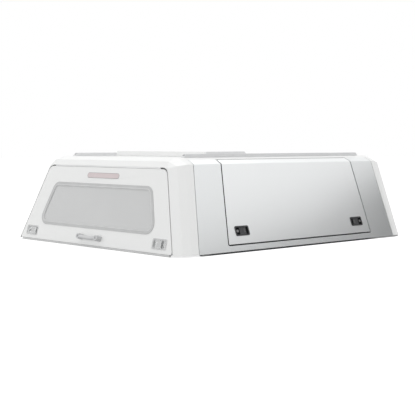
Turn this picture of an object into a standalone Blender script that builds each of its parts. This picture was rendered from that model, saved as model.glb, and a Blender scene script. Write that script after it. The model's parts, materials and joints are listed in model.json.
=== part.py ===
"""Pickup truck canopy: a lean-sided shell over the load bed, open underneath, with a
lift-up door on each side and a lift-up rear door, all three on piano hinges.
+X is the right side of the vehicle, +Y is forward, z = 0 is the top of the bed rails."""

import math

import bmesh
import bpy
from mathutils import Matrix, Vector

# Overall size of the painted shell, measured where it meets the bed
LENGTH = 1.952
WIDTH = 1.600
BASE_Z = 0.010
ROOF_Z = 0.5245

# How far each wall leans in for every metre of height
SIDE_LEAN = 0.385
REAR_LEAN = 0.256
FRONT_LEAN = 0.0

# Fold lines of the side: the top of the side face, the shoulder up to the hinge line,
# and the edge strip from there to the flat of the roof
BEND_Z = 0.490
SHOULDER_RUN = 0.0492
HINGE_Z = 0.513
ROOF_EDGE_RUN = 0.028
BEND_X = WIDTH / 2 - SIDE_LEAN * (BEND_Z - BASE_Z)
HINGE_X = BEND_X - SHOULDER_RUN
ROOF_EDGE_X = HINGE_X - ROOF_EDGE_RUN

# Fold lines of each end: the seam over the door, the top of the header, the roof slope
END_SEAM_Z = 0.468
HEADER_TOP_Z = 0.505
HEADER_SETBACK = 0.026
HEADER_END_INSET = 0.023
HEADER_END_X = HINGE_X - HEADER_END_INSET
ROOF_SLOPE_RUN = 0.060

# Plan of each corner post: three folds, as distances across and back from the end
CORNER_INNER_INSET = 0.058
CORNER_MIDDLE_INSET = 0.017
CORNER_INNER_X = WIDTH / 2 - CORNER_INNER_INSET
CORNER_MIDDLE_X = WIDTH / 2 - CORNER_MIDDLE_INSET
CORNER_MIDDLE_BACK = 0.035
CORNER_OUTER_BACK = 0.088
CORNER_MIDDLE_TOP_Z = 0.480
CORNER_OUTER_TOP_Z = 0.488

# Side panel between the corner posts
PANEL_REAR_BACK = 0.139
PANEL_FRONT_BACK = 0.115
PANEL_FRONT_LEAN = 0.015
SEAM_GROOVE_WIDTH = 0.005
SEAM_GROOVE_DEPTH = 0.006

# Walls, door leaves and the gaps between pieces
WALL = 0.030
DOOR_DEPTH = 0.014
DOOR_SKIN = 0.003
DOOR_RIM = 0.026
REBATE_DEPTH = 0.0245
LIP_WIDTH = 0.014
DOOR_GAP = 0.006
SIDE_DOOR_GAP = 0.007
JOINT = 0.0003

# Side door, heights above the foot of the panel and distances from the rear foot
SIDE_DOOR_BOTTOM = 0.0375
SIDE_DOOR_REAR_BACK = 0.364
SIDE_DOOR_REAR_LEAN = 0.234
SIDE_DOOR_FRONT_BACK = 0.337
SIDE_DOOR_CORNER = 0.004
SIDE_DOOR_OVER = 0.040

# Rear door
REAR_DOOR_BOTTOM = 0.004
REAR_DOOR_TOP_CORNER = 0.048
REAR_DOOR_LOW_CORNER = 0.012
SWEEP_DROP = 0.0108
SWEEP_THICKNESS = 0.011
SWEEP_END_INSET = 0.027
SWEEP_HALF = CORNER_INNER_X - SWEEP_END_INSET
SWEEP_SET_BACK = 0.001

# Windows, heights above the foot of the wall
WINDOW_BOTTOM = 0.097
WINDOW_TOP = 0.3585
WINDOW_INSET = 0.173
WINDOW_HALF_LOW = CORNER_INNER_X - WINDOW_INSET
WINDOW_LOW_CORNER = 0.060
WINDOW_TOP_CORNER = 0.058
WINDOW_SURROUND = 0.022
SEAL_BAND = 0.022
SEAL_OVERLAP = 0.008
SEAL_PROUD = 0.0025
GLASS_THICKNESS = 0.005
GLASS_SUNK = 0.002

# Brake light above the rear window
LIGHT_HALF_LENGTH = 0.152
LIGHT_HEIGHT = 0.029
LIGHT_CENTRE = 0.406
LIGHT_DEPTH = 0.010
LIGHT_PROUD = 0.002

# Grab handle on the rear door
HANDLE_HALF = 0.086
HANDLE_CENTRE = 0.046
HANDLE_STAND = 0.026
HANDLE_BAR_RADIUS = 0.0115
HANDLE_BOSS_RADIUS = 0.0165
HANDLE_BOSS_OVER = 0.009
HANDLE_BOW = 0.004

# Paddle latches: a pan let into the door, a sprung paddle and a lock barrel
SIDE_LATCH_LENGTH = 0.108
SIDE_LATCH_WIDTH = 0.058
REAR_LATCH_LENGTH = 0.120
REAR_LATCH_WIDTH = 0.060
LATCH_CORNER = 0.009
LATCH_PROUD = 0.002
LATCH_RIM = 0.006
LATCH_DEPTH = 0.018
LATCH_FLOOR = 0.002
LATCH_WALL = 0.002
PADDLE_LENGTH = 0.050
PADDLE_THICKNESS = 0.004
PADDLE_PIVOT_RADIUS = 0.003
PADDLE_END_GAP = 0.016
PADDLE_SIDE_GAP = 0.0012
LOCK_RADIUS = 0.009
SIDE_LATCH_HEIGHT = 0.107
SIDE_LATCH_REAR_BACK = 0.499
SIDE_LATCH_FRONT_BACK = 0.445
REAR_LATCH_HEIGHT = 0.0535
REAR_LATCH_INSET = 0.124
REAR_LATCH_X = CORNER_INNER_X - REAR_LATCH_INSET

# Piano hinges
HINGE_BARREL_RADIUS = 0.0045
HINGE_PIN_RADIUS = 0.0027
HINGE_BORE_RADIUS = 0.0030
HINGE_HALF_GAP = 0.0048
HINGE_SINK = 0.004
HINGE_LEAF_DEPTH = 0.014
HINGE_LEAF_THICKNESS = 0.0014
HINGE_LEAF_OFFSET = 0.0035
HINGE_TAIL = 0.003
HINGE_KNUCKLES = 9
HINGE_KNUCKLE_GAP = 0.001
HINGE_END_MARGIN = 0.012

# Rubber bulb seals in the door rebates
BULB_RADIUS = 0.0025
BULB_CORNER = 0.016

# Base frame and the rubber that lies on the bed
BASE_FRAME_WIDTH = 0.028
BASE_FRAME_HEIGHT = 0.030
BASE_FRAME_SET_BACK = 0.004
BED_SEAL_INSET = 0.006
BED_SEAL_WIDTH = 0.022
BED_SEAL_REAR_BACK = 0.164

# Roof rails with an accessory slot
RAIL_INSET = 0.019
RAIL_X = ROOF_EDGE_X - RAIL_INSET
RAIL_WIDTH = 0.026
RAIL_HEIGHT = 0.020
RAIL_REAR_BACK = 0.263
RAIL_FRONT_BACK = 0.1555
RAIL_TAPER = 0.020
RAIL_SLOT_WIDTH = 0.008
RAIL_SLOT_DEPTH = 0.011
RAIL_CHANNEL_WIDTH = 0.016
RAIL_CHANNEL_HEIGHT = 0.006

# Raised plate across the roof between the rails, low and narrow
ROOF_PLATE_INSET = 0.104
ROOF_PLATE_HALF = RAIL_X - ROOF_PLATE_INSET
ROOF_PLATE_REAR_BACK = 0.521
ROOF_PLATE_LENGTH = 0.030
ROOF_PLATE_HEIGHT = 0.031
ROOF_PLATE_SLANT = 0.12
ROOF_PLATE_WALL = 0.003

# Roof, walls and doors are a skin with a rim round it, and ribs or bows across
ROOF_SKIN = 0.004
ROOF_RIM = 0.045
ROOF_BOWS = 4
ROOF_BOW_WIDTH = 0.050
FRONT_SKIN = 0.004
FRONT_RIM = 0.035
PANEL_SKIN = 0.004
PANEL_RIM = 0.032
PANEL_FOOT_RIM = 0.045
DOOR_RIBS = 2
DOOR_RIB_WIDTH = 0.034
FOLD_RADIUS = 0.003

REAR_SLOPE = math.hypot(1.0, REAR_LEAN)
SIDE_SLOPE = math.hypot(1.0, SIDE_LEAN)
FRONT_SLOPE = math.hypot(1.0, FRONT_LEAN)

# The handle stands out behind the rear foot, so the shell sits forward of the origin by
# half of that and the whole part is centred on it
HANDLE_OVERHANG = (
    (HANDLE_STAND + HANDLE_BAR_RADIUS - HANDLE_CENTRE * REAR_LEAN) / REAR_SLOPE
)
REAR_FOOT = -LENGTH / 2 + HANDLE_OVERHANG / 2
FRONT_FOOT = REAR_FOOT + LENGTH

REACH = 6.0
CLEAR = 0.1
THROUGH = 2.0 * WALL
SMALL_CORNER = 0.002
END_FLAT = 0.0002
FOOT_FACING = -0.5
FOLD_STEPS = 2
ARC_STEPS = 5
LATCH_ARC_STEPS = 3
BARREL_STEPS = 12
PIN_SIDES = 12
LOCK_SIDES = 16
BOSS_SIDES = 20
HANDLE_STEPS = 10

PARTS = "truck_canopy"
CUTTERS = "canopy_cutters"


# Scene and collections
for old in list(bpy.data.objects):
    bpy.data.objects.remove(old, do_unlink=True)

for name in (PARTS, CUTTERS):
    if name not in bpy.data.collections:
        bpy.context.scene.collection.children.link(bpy.data.collections.new(name))


def add_object(name, mesh, matrix=None, cutter=False):
    """Put a mesh in the parts collection, or with the cutters."""
    thing = bpy.data.objects.new(name, mesh)
    if matrix is not None:
        thing.matrix_world = matrix
    bpy.data.collections[CUTTERS if cutter else PARTS].objects.link(thing)
    if cutter:
        thing.hide_render = True
        thing.display_type = "WIRE"
    return thing


def paint(thing, colour, roughness, metallic=0.0, alpha=1.0):
    """Give a piece its own material."""
    material = bpy.data.materials.new(thing.name)
    material.use_nodes = True
    shader = material.node_tree.nodes["Principled BSDF"]
    shader.inputs["Base Color"].default_value = (*colour, 1.0)
    shader.inputs["Roughness"].default_value = roughness
    shader.inputs["Metallic"].default_value = metallic
    shader.inputs["Alpha"].default_value = alpha
    thing.data.materials.clear()
    thing.data.materials.append(material)
    return thing


def paint_white(thing):
    return paint(thing, (0.80, 0.81, 0.81), 0.35)


def paint_silver(thing):
    return paint(thing, (0.62, 0.63, 0.64), 0.38, metallic=0.6)


def paint_rubber(thing):
    return paint(thing, (0.10, 0.10, 0.10), 0.85)


def paint_steel(thing):
    return paint(thing, (0.45, 0.45, 0.46), 0.4, metallic=0.9)


def paint_black(thing):
    return paint(thing, (0.06, 0.06, 0.07), 0.5)


def combine(thing, operation, *others):
    """Join, cut or keep the overlap with other objects, by Boolean modifiers."""
    for other in others:
        modifier = thing.modifiers.new(other.name, "BOOLEAN")
        modifier.operation = operation
        modifier.solver = "EXACT"
        modifier.object = other
    return thing


def evaluated_mesh(thing):
    """The mesh of an object with its modifiers worked out, in its own axes."""
    bpy.context.view_layer.update()
    graph = bpy.context.evaluated_depsgraph_get()
    return bpy.data.meshes.new_from_object(thing.evaluated_get(graph))


def curve_to_mesh(curve_object, cutter=False):
    """Turn a curve object into a closed mesh object with its caps welded on."""
    mesh = evaluated_mesh(curve_object)
    matrix = curve_object.matrix_world.copy()
    shape = bmesh.new()
    shape.from_mesh(mesh)
    bmesh.ops.remove_doubles(shape, verts=shape.verts[:], dist=0.00001)
    bmesh.ops.recalc_face_normals(shape, faces=shape.faces[:])
    shape.to_mesh(mesh)
    shape.free()
    name = curve_object.name
    bpy.data.objects.remove(curve_object, do_unlink=True)
    return add_object(name, mesh, matrix, cutter)


def mirror_left(thing, name, cutter=False):
    """The left-hand twin of a right-hand piece."""
    mesh = evaluated_mesh(thing)
    mesh.transform(Matrix.Scale(-1.0, 4, (1.0, 0.0, 0.0)) @ thing.matrix_world)
    mesh.flip_normals()
    twin = add_object(name, mesh, cutter=cutter)
    if cutter:
        return twin
    colours = thing.data.materials[0].node_tree.nodes["Principled BSDF"].inputs
    return paint(
        twin,
        colours["Base Color"].default_value[:3],
        colours["Roughness"].default_value,
        colours["Metallic"].default_value,
        colours["Alpha"].default_value,
    )


def hang(name, point, pieces, parent=None):
    """Hang pieces on an empty that stands on the axis they turn about."""
    empty = bpy.data.objects.new(name, None)
    empty.matrix_world = Matrix.Translation(point)
    bpy.data.collections[PARTS].objects.link(empty)
    for piece in pieces:
        piece.parent = empty
        piece.matrix_parent_inverse = Matrix.Translation(point).inverted()
    if parent is not None:
        empty.parent = parent
        empty.matrix_parent_inverse = Matrix.Translation(-parent.location)
    return empty


# Flat cuts: the whole shell is folded from flat sheet, so its form is a block cut by planes
class Plane:
    """A flat cut, which takes away what lies on the side that its normal points to."""

    def __init__(self, point, normal):
        self.normal = Vector(normal).normalized()
        self.reach = self.normal.dot(Vector(point))

    @classmethod
    def through(cls, first, second, third, outward):
        normal = (second - first).cross(third - first)
        if normal.dot(Vector(outward)) < 0.0:
            normal.negate()
        return cls(first, normal)

    def moved(self, distance):
        return Plane(self.normal * (self.reach + distance), self.normal)

    def turned(self):
        return Plane(self.normal * self.reach, -self.normal)

    def mirrored(self):
        flip = Vector((-1.0, 1.0, 1.0))
        return Plane(self.normal * self.reach * flip, self.normal * flip)


def cut_by(shape, planes):
    """Cut a closed shape by planes, each cut closed again."""
    for plane in planes:
        result = bmesh.ops.bisect_plane(
            shape,
            geom=shape.verts[:] + shape.edges[:] + shape.faces[:],
            dist=0.000001,
            plane_co=plane.normal * plane.reach,
            plane_no=plane.normal,
            clear_outer=True,
        )
        rim = [item for item in result["geom_cut"] if isinstance(item, bmesh.types.BMEdge)]
        if rim:
            bmesh.ops.edgeloop_fill(shape, edges=rim)
    bmesh.ops.remove_doubles(shape, verts=shape.verts[:], dist=0.000002)
    bmesh.ops.recalc_face_normals(shape, faces=shape.faces[:])


def cut_block(name, planes, borders=(), cutter=False):
    """A block cut down by planes to a closed convex solid. With borders, the folds
    between the planes are rounded first and the borders then cut them off square."""
    shape = bmesh.new()
    bmesh.ops.create_cube(shape, size=REACH)
    cut_by(shape, planes)
    if borders:
        folds = [
            edge for edge in shape.edges
            if all(face.normal.z > FOOT_FACING for face in edge.link_faces)
        ]
        bmesh.ops.bevel(
            shape,
            geom=folds,
            offset=FOLD_RADIUS,
            offset_type="OFFSET",
            segments=FOLD_STEPS,
            profile=0.5,
            affect="EDGES",
        )
        cut_by(shape, borders)
    mesh = bpy.data.meshes.new(name)
    shape.to_mesh(mesh)
    shape.free()
    return add_object(name, mesh, cutter=cutter)


def end_planes(end):
    """The folds of the rear end (-1) or the front end (+1), right half last."""
    foot = REAR_FOOT if end < 0 else FRONT_FOOT
    lean = REAR_LEAN if end < 0 else FRONT_LEAN
    slope = Vector((-SIDE_LEAN, -end * lean, 1.0))

    def at(x, back, z):
        return Vector((x, foot - end * back, z))

    seam_back = lean * (END_SEAM_Z - BASE_Z)
    header_back = seam_back + HEADER_SETBACK
    across = Vector((1.0, 0.0, 0.0))
    outward = Vector((0.0, end, 1.0))
    face = Plane(at(0.0, 0.0, BASE_Z), (0.0, end, lean))
    seam = at(0.0, seam_back, END_SEAM_Z)
    header_top = at(0.0, header_back, HEADER_TOP_Z)
    roof_start = at(0.0, header_back + ROOF_SLOPE_RUN, ROOF_Z)
    header = Plane.through(seam, header_top, seam + across, outward)
    roof_slope = Plane.through(header_top, roof_start, header_top + across, outward)

    inner = at(CORNER_INNER_X, 0.0, BASE_Z)
    middle = at(CORNER_MIDDLE_X, CORNER_MIDDLE_BACK, BASE_Z)
    outer = at(WIDTH / 2, CORNER_OUTER_BACK, BASE_Z)
    corner_outward = Vector((1.0, end, 0.5))
    post_inner = Plane.through(inner, middle, middle + slope, corner_outward)
    post_outer = Plane.through(middle, outer, outer + slope, corner_outward)
    inner_top = inner + slope * (END_SEAM_Z - BASE_Z)
    middle_top = middle + slope * (CORNER_MIDDLE_TOP_Z - BASE_Z)
    outer_top = outer + slope * (CORNER_OUTER_TOP_Z - BASE_Z)
    header_end = header_top + across * HEADER_END_X
    corner_low = Plane.through(inner_top, middle_top, header_end, corner_outward)
    corner_high = Plane.through(middle_top, outer_top, header_end, corner_outward)
    return [face, header, roof_slope], [post_inner, post_outer, corner_low, corner_high]


SIDE_FACE = Plane((WIDTH / 2, 0.0, BASE_Z), (1.0, 0.0, SIDE_LEAN))
SHOULDER = Plane((HINGE_X, 0.0, HINGE_Z), (HINGE_Z - BEND_Z, 0.0, BEND_X - HINGE_X))
ROOF_SIDE = Plane((HINGE_X, 0.0, HINGE_Z), (ROOF_Z - HINGE_Z, 0.0, HINGE_X - ROOF_EDGE_X))
ROOF_FLAT = Plane((0.0, 0.0, ROOF_Z), (0.0, 0.0, 1.0))
FOOT = Plane((0.0, 0.0, BASE_Z), (0.0, 0.0, -1.0))


def shell_planes(inset=0.0):
    """Every fold of the shell's outside, or of a form lying inside it by an inset."""
    rear_middle, rear_corner = end_planes(-1)
    front_middle, front_corner = end_planes(1)
    one_side = [SIDE_FACE, SHOULDER, ROOF_SIDE] + rear_corner + front_corner
    planes = [ROOF_FLAT] + rear_middle + front_middle + one_side
    planes += [plane.mirrored() for plane in one_side]
    return [plane.moved(-inset) for plane in planes]


INSIDE = {}


def inside_form(inset):
    """The solid that lies inside the shell by an inset, running out below its foot."""
    if inset not in INSIDE:
        name = "inside_%.1f_mm" % (inset * 1000.0)
        INSIDE[inset] = cut_block(name, shell_planes(inset), cutter=True)
    return INSIDE[inset]


def shell_piece(name, borders, thickness=WALL, cutter=False):
    """A piece of the shell's wall between border planes."""
    borders = [plane.moved(-JOINT / 2) for plane in borders]
    piece = cut_block(name, shell_planes(), [FOOT] + borders, cutter=cutter)
    return combine(piece, "DIFFERENCE", inside_form(thickness))


def rear_y(back, height=0.0, lean=0.0):
    """Y of a line that starts a distance forward of the rear foot and leans with height."""
    return REAR_FOOT + back + lean * height


def leaning_plane(y, lean, end):
    """A cut across the canopy whose line in side view leans forward as it rises."""
    return Plane((0.0, y, BASE_Z), (0.0, end, -end * lean))


# Outlines: flat shapes with rounded corners, drawn on a wall and extruded through it
def inset_outline(points, distance):
    """Move every edge of a counterclockwise convex outline inwards by a distance."""
    lines = []
    for index, start in enumerate(points):
        end = points[(index + 1) % len(points)]
        along = Vector((end[0] - start[0], end[1] - start[1])).normalized()
        inward = Vector((-along.y, along.x))
        lines.append((Vector(start) + inward * distance, along))
    moved = []
    for index, (point, along) in enumerate(lines):
        before, before_along = lines[index - 1]
        factor = (point - before).cross(along) / before_along.cross(along)
        moved.append(tuple(before + before_along * factor))
    return moved


def round_outline(points, radii, steps=ARC_STEPS):
    """Round each corner of a counterclockwise outline with an arc of its own radius."""
    rounded = []
    for index, corner in enumerate(points):
        radius = radii[index]
        corner = Vector(corner)
        before = (Vector(points[index - 1]) - corner).normalized()
        after = (Vector(points[(index + 1) % len(points)]) - corner).normalized()
        if radius <= 0.0:
            rounded.append(tuple(corner))
            continue
        half = before.angle(after) / 2
        centre = corner + (before + after).normalized() * radius / math.sin(half)
        start = corner + before * radius / math.tan(half) - centre
        turn = math.pi - 2 * half
        for step in range(steps + 1):
            angle = turn * step / steps
            spun = Matrix.Rotation(angle, 2) @ start
            rounded.append(tuple(centre + spun))
    return rounded


def prism(name, outline, matrix, low, high, cutter=False):
    """Extrude a flat outline on a wall's frame, from one height above the wall to another."""
    curve = bpy.data.curves.new(name, "CURVE")
    curve.dimensions = "2D"
    curve.fill_mode = "BOTH"
    curve.extrude = (high - low) / 2
    spline = curve.splines.new("POLY")
    spline.points.add(len(outline) - 1)
    for point, (u, v) in zip(spline.points, outline):
        point.co = (u, v, 0.0, 1.0)
    spline.use_cyclic_u = True
    holder = bpy.data.objects.new(name, curve)
    bpy.context.scene.collection.objects.link(holder)
    holder.matrix_world = matrix @ Matrix.Translation((0.0, 0.0, (low + high) / 2))
    return curve_to_mesh(holder, cutter=cutter)


def tube(name, points, radius, cyclic=False, resolution=2, cutter=False):
    """A round bar or bulb seal along a chain of points."""
    curve = bpy.data.curves.new(name, "CURVE")
    curve.dimensions = "3D"
    curve.bevel_depth = radius
    curve.bevel_resolution = resolution
    curve.use_fill_caps = True
    spline = curve.splines.new("POLY")
    spline.points.add(len(points) - 1)
    for point, place in zip(spline.points, points):
        point.co = (*place, 1.0)
    spline.use_cyclic_u = cyclic
    holder = bpy.data.objects.new(name, curve)
    bpy.context.scene.collection.objects.link(holder)
    return curve_to_mesh(holder, cutter=cutter)


def cylinder(name, matrix, radius, low, high, sides, cutter=False):
    """A round solid about a frame's third axis."""
    shape = bmesh.new()
    bmesh.ops.create_cone(
        shape,
        cap_ends=True,
        segments=sides,
        radius1=radius,
        radius2=radius,
        depth=high - low,
        matrix=Matrix.Translation((0.0, 0.0, (low + high) / 2)),
    )
    mesh = bpy.data.meshes.new(name)
    shape.to_mesh(mesh)
    shape.free()
    return add_object(name, mesh, matrix, cutter)


def wall_frame(origin, across, up):
    """Axes of a wall: across it, up its slope, and out of it."""
    across = Vector(across).normalized()
    up = Vector(up).normalized()
    outward = across.cross(up)
    columns = Matrix((across, up, outward)).transposed().to_4x4()
    return Matrix.Translation(origin) @ columns


REAR_WALL = wall_frame((0.0, REAR_FOOT, BASE_Z), (1.0, 0.0, 0.0), (0.0, REAR_LEAN, 1.0))
FRONT_WALL = wall_frame((0.0, FRONT_FOOT, BASE_Z), (-1.0, 0.0, 0.0), (0.0, -FRONT_LEAN, 1.0))
RIGHT_WALL = wall_frame((WIDTH / 2, 0.0, BASE_Z), (0.0, 1.0, 0.0), (-SIDE_LEAN, 0.0, 1.0))
SIDE_VIEW = wall_frame((0.0, 0.0, 0.0), (0.0, 1.0, 0.0), (0.0, 0.0, 1.0))


# Corner posts, one at each corner of the shell
INNER_EDGE = Plane((CORNER_INNER_X, 0.0, BASE_Z), (-1.0, 0.0, -SIDE_LEAN))
CORNER_REACH = 0.050
HINGE_EDGE = Plane((HINGE_X, 0.0, 0.0), (-1.0, 0.0, 0.0))
PANEL_REAR = leaning_plane(REAR_FOOT + PANEL_REAR_BACK, REAR_LEAN, 1)
PANEL_FRONT = leaning_plane(FRONT_FOOT - PANEL_FRONT_BACK, -PANEL_FRONT_LEAN, -1)
REAR_SEAM_UP = (END_SEAM_Z - BASE_Z) * REAR_SLOPE
FRONT_SEAM_UP = (END_SEAM_Z - BASE_Z) * FRONT_SLOPE


def seam_groove(name, seam):
    """The open joint beside a corner post, a shallow groove over the side and shoulder."""
    half = SEAM_GROOVE_WIDTH / 2
    sides = [seam.moved(half), seam.turned().moved(half)]
    strip = cut_block(name, sides + [HINGE_EDGE.moved(-JOINT)], cutter=True)
    return combine(strip, "DIFFERENCE", inside_form(SEAM_GROOVE_DEPTH))


rear_groove = seam_groove("rear_seam_groove", PANEL_REAR)
front_groove = seam_groove("front_seam_groove", PANEL_FRONT)


def rear_half_width(height, edge=CORNER_INNER_X):
    """Half the width of the rear opening at a height above its foot."""
    return edge - SIDE_LEAN * height


def rear_outline(low, high, edge, low_corner, top_corner):
    """A rounded trapezoid on the rear wall; heights are upright, not up the slope."""
    corners = [
        (-rear_half_width(low, edge), low * REAR_SLOPE),
        (rear_half_width(low, edge), low * REAR_SLOPE),
        (rear_half_width(high, edge), high * REAR_SLOPE),
        (-rear_half_width(high, edge), high * REAR_SLOPE),
    ]
    return corners, [low_corner, low_corner, top_corner, top_corner]


REAR_HINGE_HEIGHT = END_SEAM_Z - BASE_Z
HINGE_HALF_RISE = HINGE_HALF_GAP / REAR_SLOPE

# The rear opening, cut to the depth of its rebate so that a lip stays behind the door
opening, opening_radii = rear_outline(
    -CLEAR,
    REAR_HINGE_HEIGHT + HINGE_HALF_RISE,
    CORNER_INNER_X,
    0.0,
    REAR_DOOR_TOP_CORNER + DOOR_GAP,
)
rear_rebate = prism(
    "rear_rebate",
    round_outline(opening, opening_radii),
    REAR_WALL,
    -REBATE_DEPTH,
    CLEAR,
    cutter=True,
)

rear_way = prism(
    "rear_way_through",
    round_outline(
        inset_outline(opening, LIP_WIDTH),
        [max(radius - LIP_WIDTH, 0.0) for radius in opening_radii],
    ),
    REAR_WALL,
    -LENGTH / 2,
    CLEAR,
    cutter=True,
)

rear_right_post = shell_piece(
    "rear_right_corner_post", [INNER_EDGE.moved(CORNER_REACH), HINGE_EDGE, PANEL_REAR]
)
combine(rear_right_post, "DIFFERENCE", rear_rebate, rear_way, rear_groove)
paint_white(rear_right_post)
front_right_post = shell_piece(
    "front_right_corner_post", [INNER_EDGE, HINGE_EDGE, PANEL_FRONT]
)
combine(front_right_post, "DIFFERENCE", front_groove)
paint_white(front_right_post)


# Headers over the rear door and the front wall
def wall_plane(wall, height_up, direction):
    """A cut square to a wall, at a distance up its slope."""
    up = (wall.to_3x3() @ Vector((0.0, 1.0, 0.0))) * direction
    return Plane(wall @ Vector((0.0, height_up, 0.0)), up)


MIDDLE = [HINGE_EDGE.turned(), HINGE_EDGE.turned().mirrored()]
REAR_HEADER_BACK = REAR_LEAN * REAR_HINGE_HEIGHT + HEADER_SETBACK
FRONT_HEADER_BACK = FRONT_LEAN * REAR_HINGE_HEIGHT + HEADER_SETBACK
REAR_HEADER_END = Plane((0.0, REAR_FOOT + REAR_HEADER_BACK, 0.0), (0.0, 1.0, 0.0))
FRONT_HEADER_END = Plane((0.0, FRONT_FOOT - FRONT_HEADER_BACK, 0.0), (0.0, -1.0, 0.0))
HEADER_DROP = REAR_DOOR_TOP_CORNER + DOOR_GAP + LIP_WIDTH

rear_header = shell_piece(
    "rear_header",
    MIDDLE + [REAR_HEADER_END, wall_plane(REAR_WALL, REAR_SEAM_UP - HEADER_DROP, -1)],
)
combine(rear_header, "DIFFERENCE", rear_rebate, rear_way)
paint_white(rear_header)
front_header = shell_piece(
    "front_header", MIDDLE + [FRONT_HEADER_END, wall_plane(FRONT_WALL, FRONT_SEAM_UP, -1)]
)
paint_white(front_header)


# Side opening: the door's outline in side view, its rebate and the way through
def side_outline(gap=0.0):
    """Corners of the side door in side view, grown by a gap on every edge."""
    low = BASE_Z + SIDE_DOOR_BOTTOM
    high = ROOF_Z + SIDE_DOOR_OVER
    rear_low = rear_y(SIDE_DOOR_REAR_BACK, SIDE_DOOR_BOTTOM, SIDE_DOOR_REAR_LEAN)
    rear_high = rear_y(SIDE_DOOR_REAR_BACK, high - BASE_Z, SIDE_DOOR_REAR_LEAN)
    front = FRONT_FOOT - SIDE_DOOR_FRONT_BACK
    corners = [(rear_low, low), (front, low), (front, high), (rear_high, high)]
    return inset_outline(corners, -gap)


def side_prism(name, gap, inner_x):
    """The side door's outline, grown by a gap and run out sideways from a distance."""
    radius = max(SIDE_DOOR_CORNER + gap, SMALL_CORNER)
    outline = round_outline(side_outline(gap), [radius, radius, 0.0, 0.0])
    return prism(name, outline, SIDE_VIEW, inner_x, WIDTH, cutter=True)


side_rebate = side_prism("side_rebate", SIDE_DOOR_GAP, HINGE_X - HINGE_HALF_GAP)
combine(side_rebate, "DIFFERENCE", inside_form(REBATE_DEPTH))
left_rebate = mirror_left(side_rebate, "left_side_rebate", cutter=True)
side_way = side_prism("side_way_through", SIDE_DOOR_GAP - LIP_WIDTH, HINGE_X + LIP_WIDTH)

# Roof panel: a skin with a rim round it and bows across, pocketed from below
over_walls = Plane((0.0, 0.0, END_SEAM_Z), (0.0, 0.0, -1.0))
roof = shell_piece(
    "roof_panel",
    MIDDLE + [over_walls, REAR_HEADER_END.turned(), FRONT_HEADER_END.turned()],
)
roof_bays_start = REAR_FOOT + REAR_HEADER_BACK + ROOF_RIM
roof_bays_end = FRONT_FOOT - FRONT_HEADER_BACK - ROOF_RIM
bay_length = roof_bays_end - roof_bays_start - ROOF_BOWS * ROOF_BOW_WIDTH
bay_length /= ROOF_BOWS + 1
rim_inside = Plane((HINGE_X - ROOF_RIM, 0.0, 0.0), (1.0, 0.0, 0.0))
roof_pockets = []
for index in range(ROOF_BOWS + 1):
    bay_start = roof_bays_start + index * (bay_length + ROOF_BOW_WIDTH)
    limits = [
        over_walls,
        rim_inside,
        rim_inside.mirrored(),
        Plane((0.0, bay_start, 0.0), (0.0, -1.0, 0.0)),
        Plane((0.0, bay_start + bay_length, 0.0), (0.0, 1.0, 0.0)),
    ]
    roof_pockets.append(
        cut_block("roof_pocket_%d" % (index + 1), shell_planes(ROOF_SKIN) + limits, cutter=True)
    )
combine(roof, "DIFFERENCE", side_rebate, left_rebate, *roof_pockets)
paint_white(roof)

# Side panels round the side doors
right_panel = shell_piece(
    "right_side_panel", [HINGE_EDGE, PANEL_REAR.turned(), PANEL_FRONT.turned()]
)
door_rear_edge = leaning_plane(REAR_FOOT + SIDE_DOOR_REAR_BACK, SIDE_DOOR_REAR_LEAN, 1)
door_front_edge = leaning_plane(FRONT_FOOT - SIDE_DOOR_FRONT_BACK, 0.0, -1)
beside_door = PANEL_RIM + SIDE_DOOR_GAP
panel_bays = (
    ("rear_panel_pocket", [PANEL_REAR.turned(), door_rear_edge.moved(-beside_door)]),
    ("front_panel_pocket", [PANEL_FRONT.turned(), door_front_edge.moved(-beside_door)]),
)
panel_pockets = []
for name, (at_post, at_door) in panel_bays:
    limits = [
        at_post.moved(-PANEL_RIM),
        at_door,
        Plane((0.0, 0.0, BASE_Z + PANEL_FOOT_RIM), (0.0, 0.0, -1.0)),
        Plane((0.0, 0.0, BEND_Z - PANEL_RIM), (0.0, 0.0, 1.0)),
        HINGE_EDGE,
    ]
    panel_pockets.append(cut_block(name, shell_planes(PANEL_SKIN) + limits, cutter=True))
combine(right_panel, "DIFFERENCE", side_rebate, side_way, rear_groove, front_groove)
combine(right_panel, "DIFFERENCE", *panel_pockets)
paint_silver(right_panel)


# Windows: the hole in the wall, a rubber frame pressed into it and the glass
def window_outline(inset=0.0):
    """The window's rounded trapezoid on an end wall, shrunk by an inset."""
    low = WINDOW_BOTTOM * REAR_SLOPE
    top = WINDOW_TOP * REAR_SLOPE
    half_top = WINDOW_HALF_LOW - SIDE_LEAN * (WINDOW_TOP - WINDOW_BOTTOM)
    corners = [
        (-WINDOW_HALF_LOW, low),
        (WINDOW_HALF_LOW, low),
        (half_top, top),
        (-half_top, top),
    ]
    radii = [WINDOW_LOW_CORNER, WINDOW_LOW_CORNER, WINDOW_TOP_CORNER, WINDOW_TOP_CORNER]
    shrunk = inset_outline(corners, inset)
    return round_outline(shrunk, [radius - inset for radius in radii])


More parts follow.
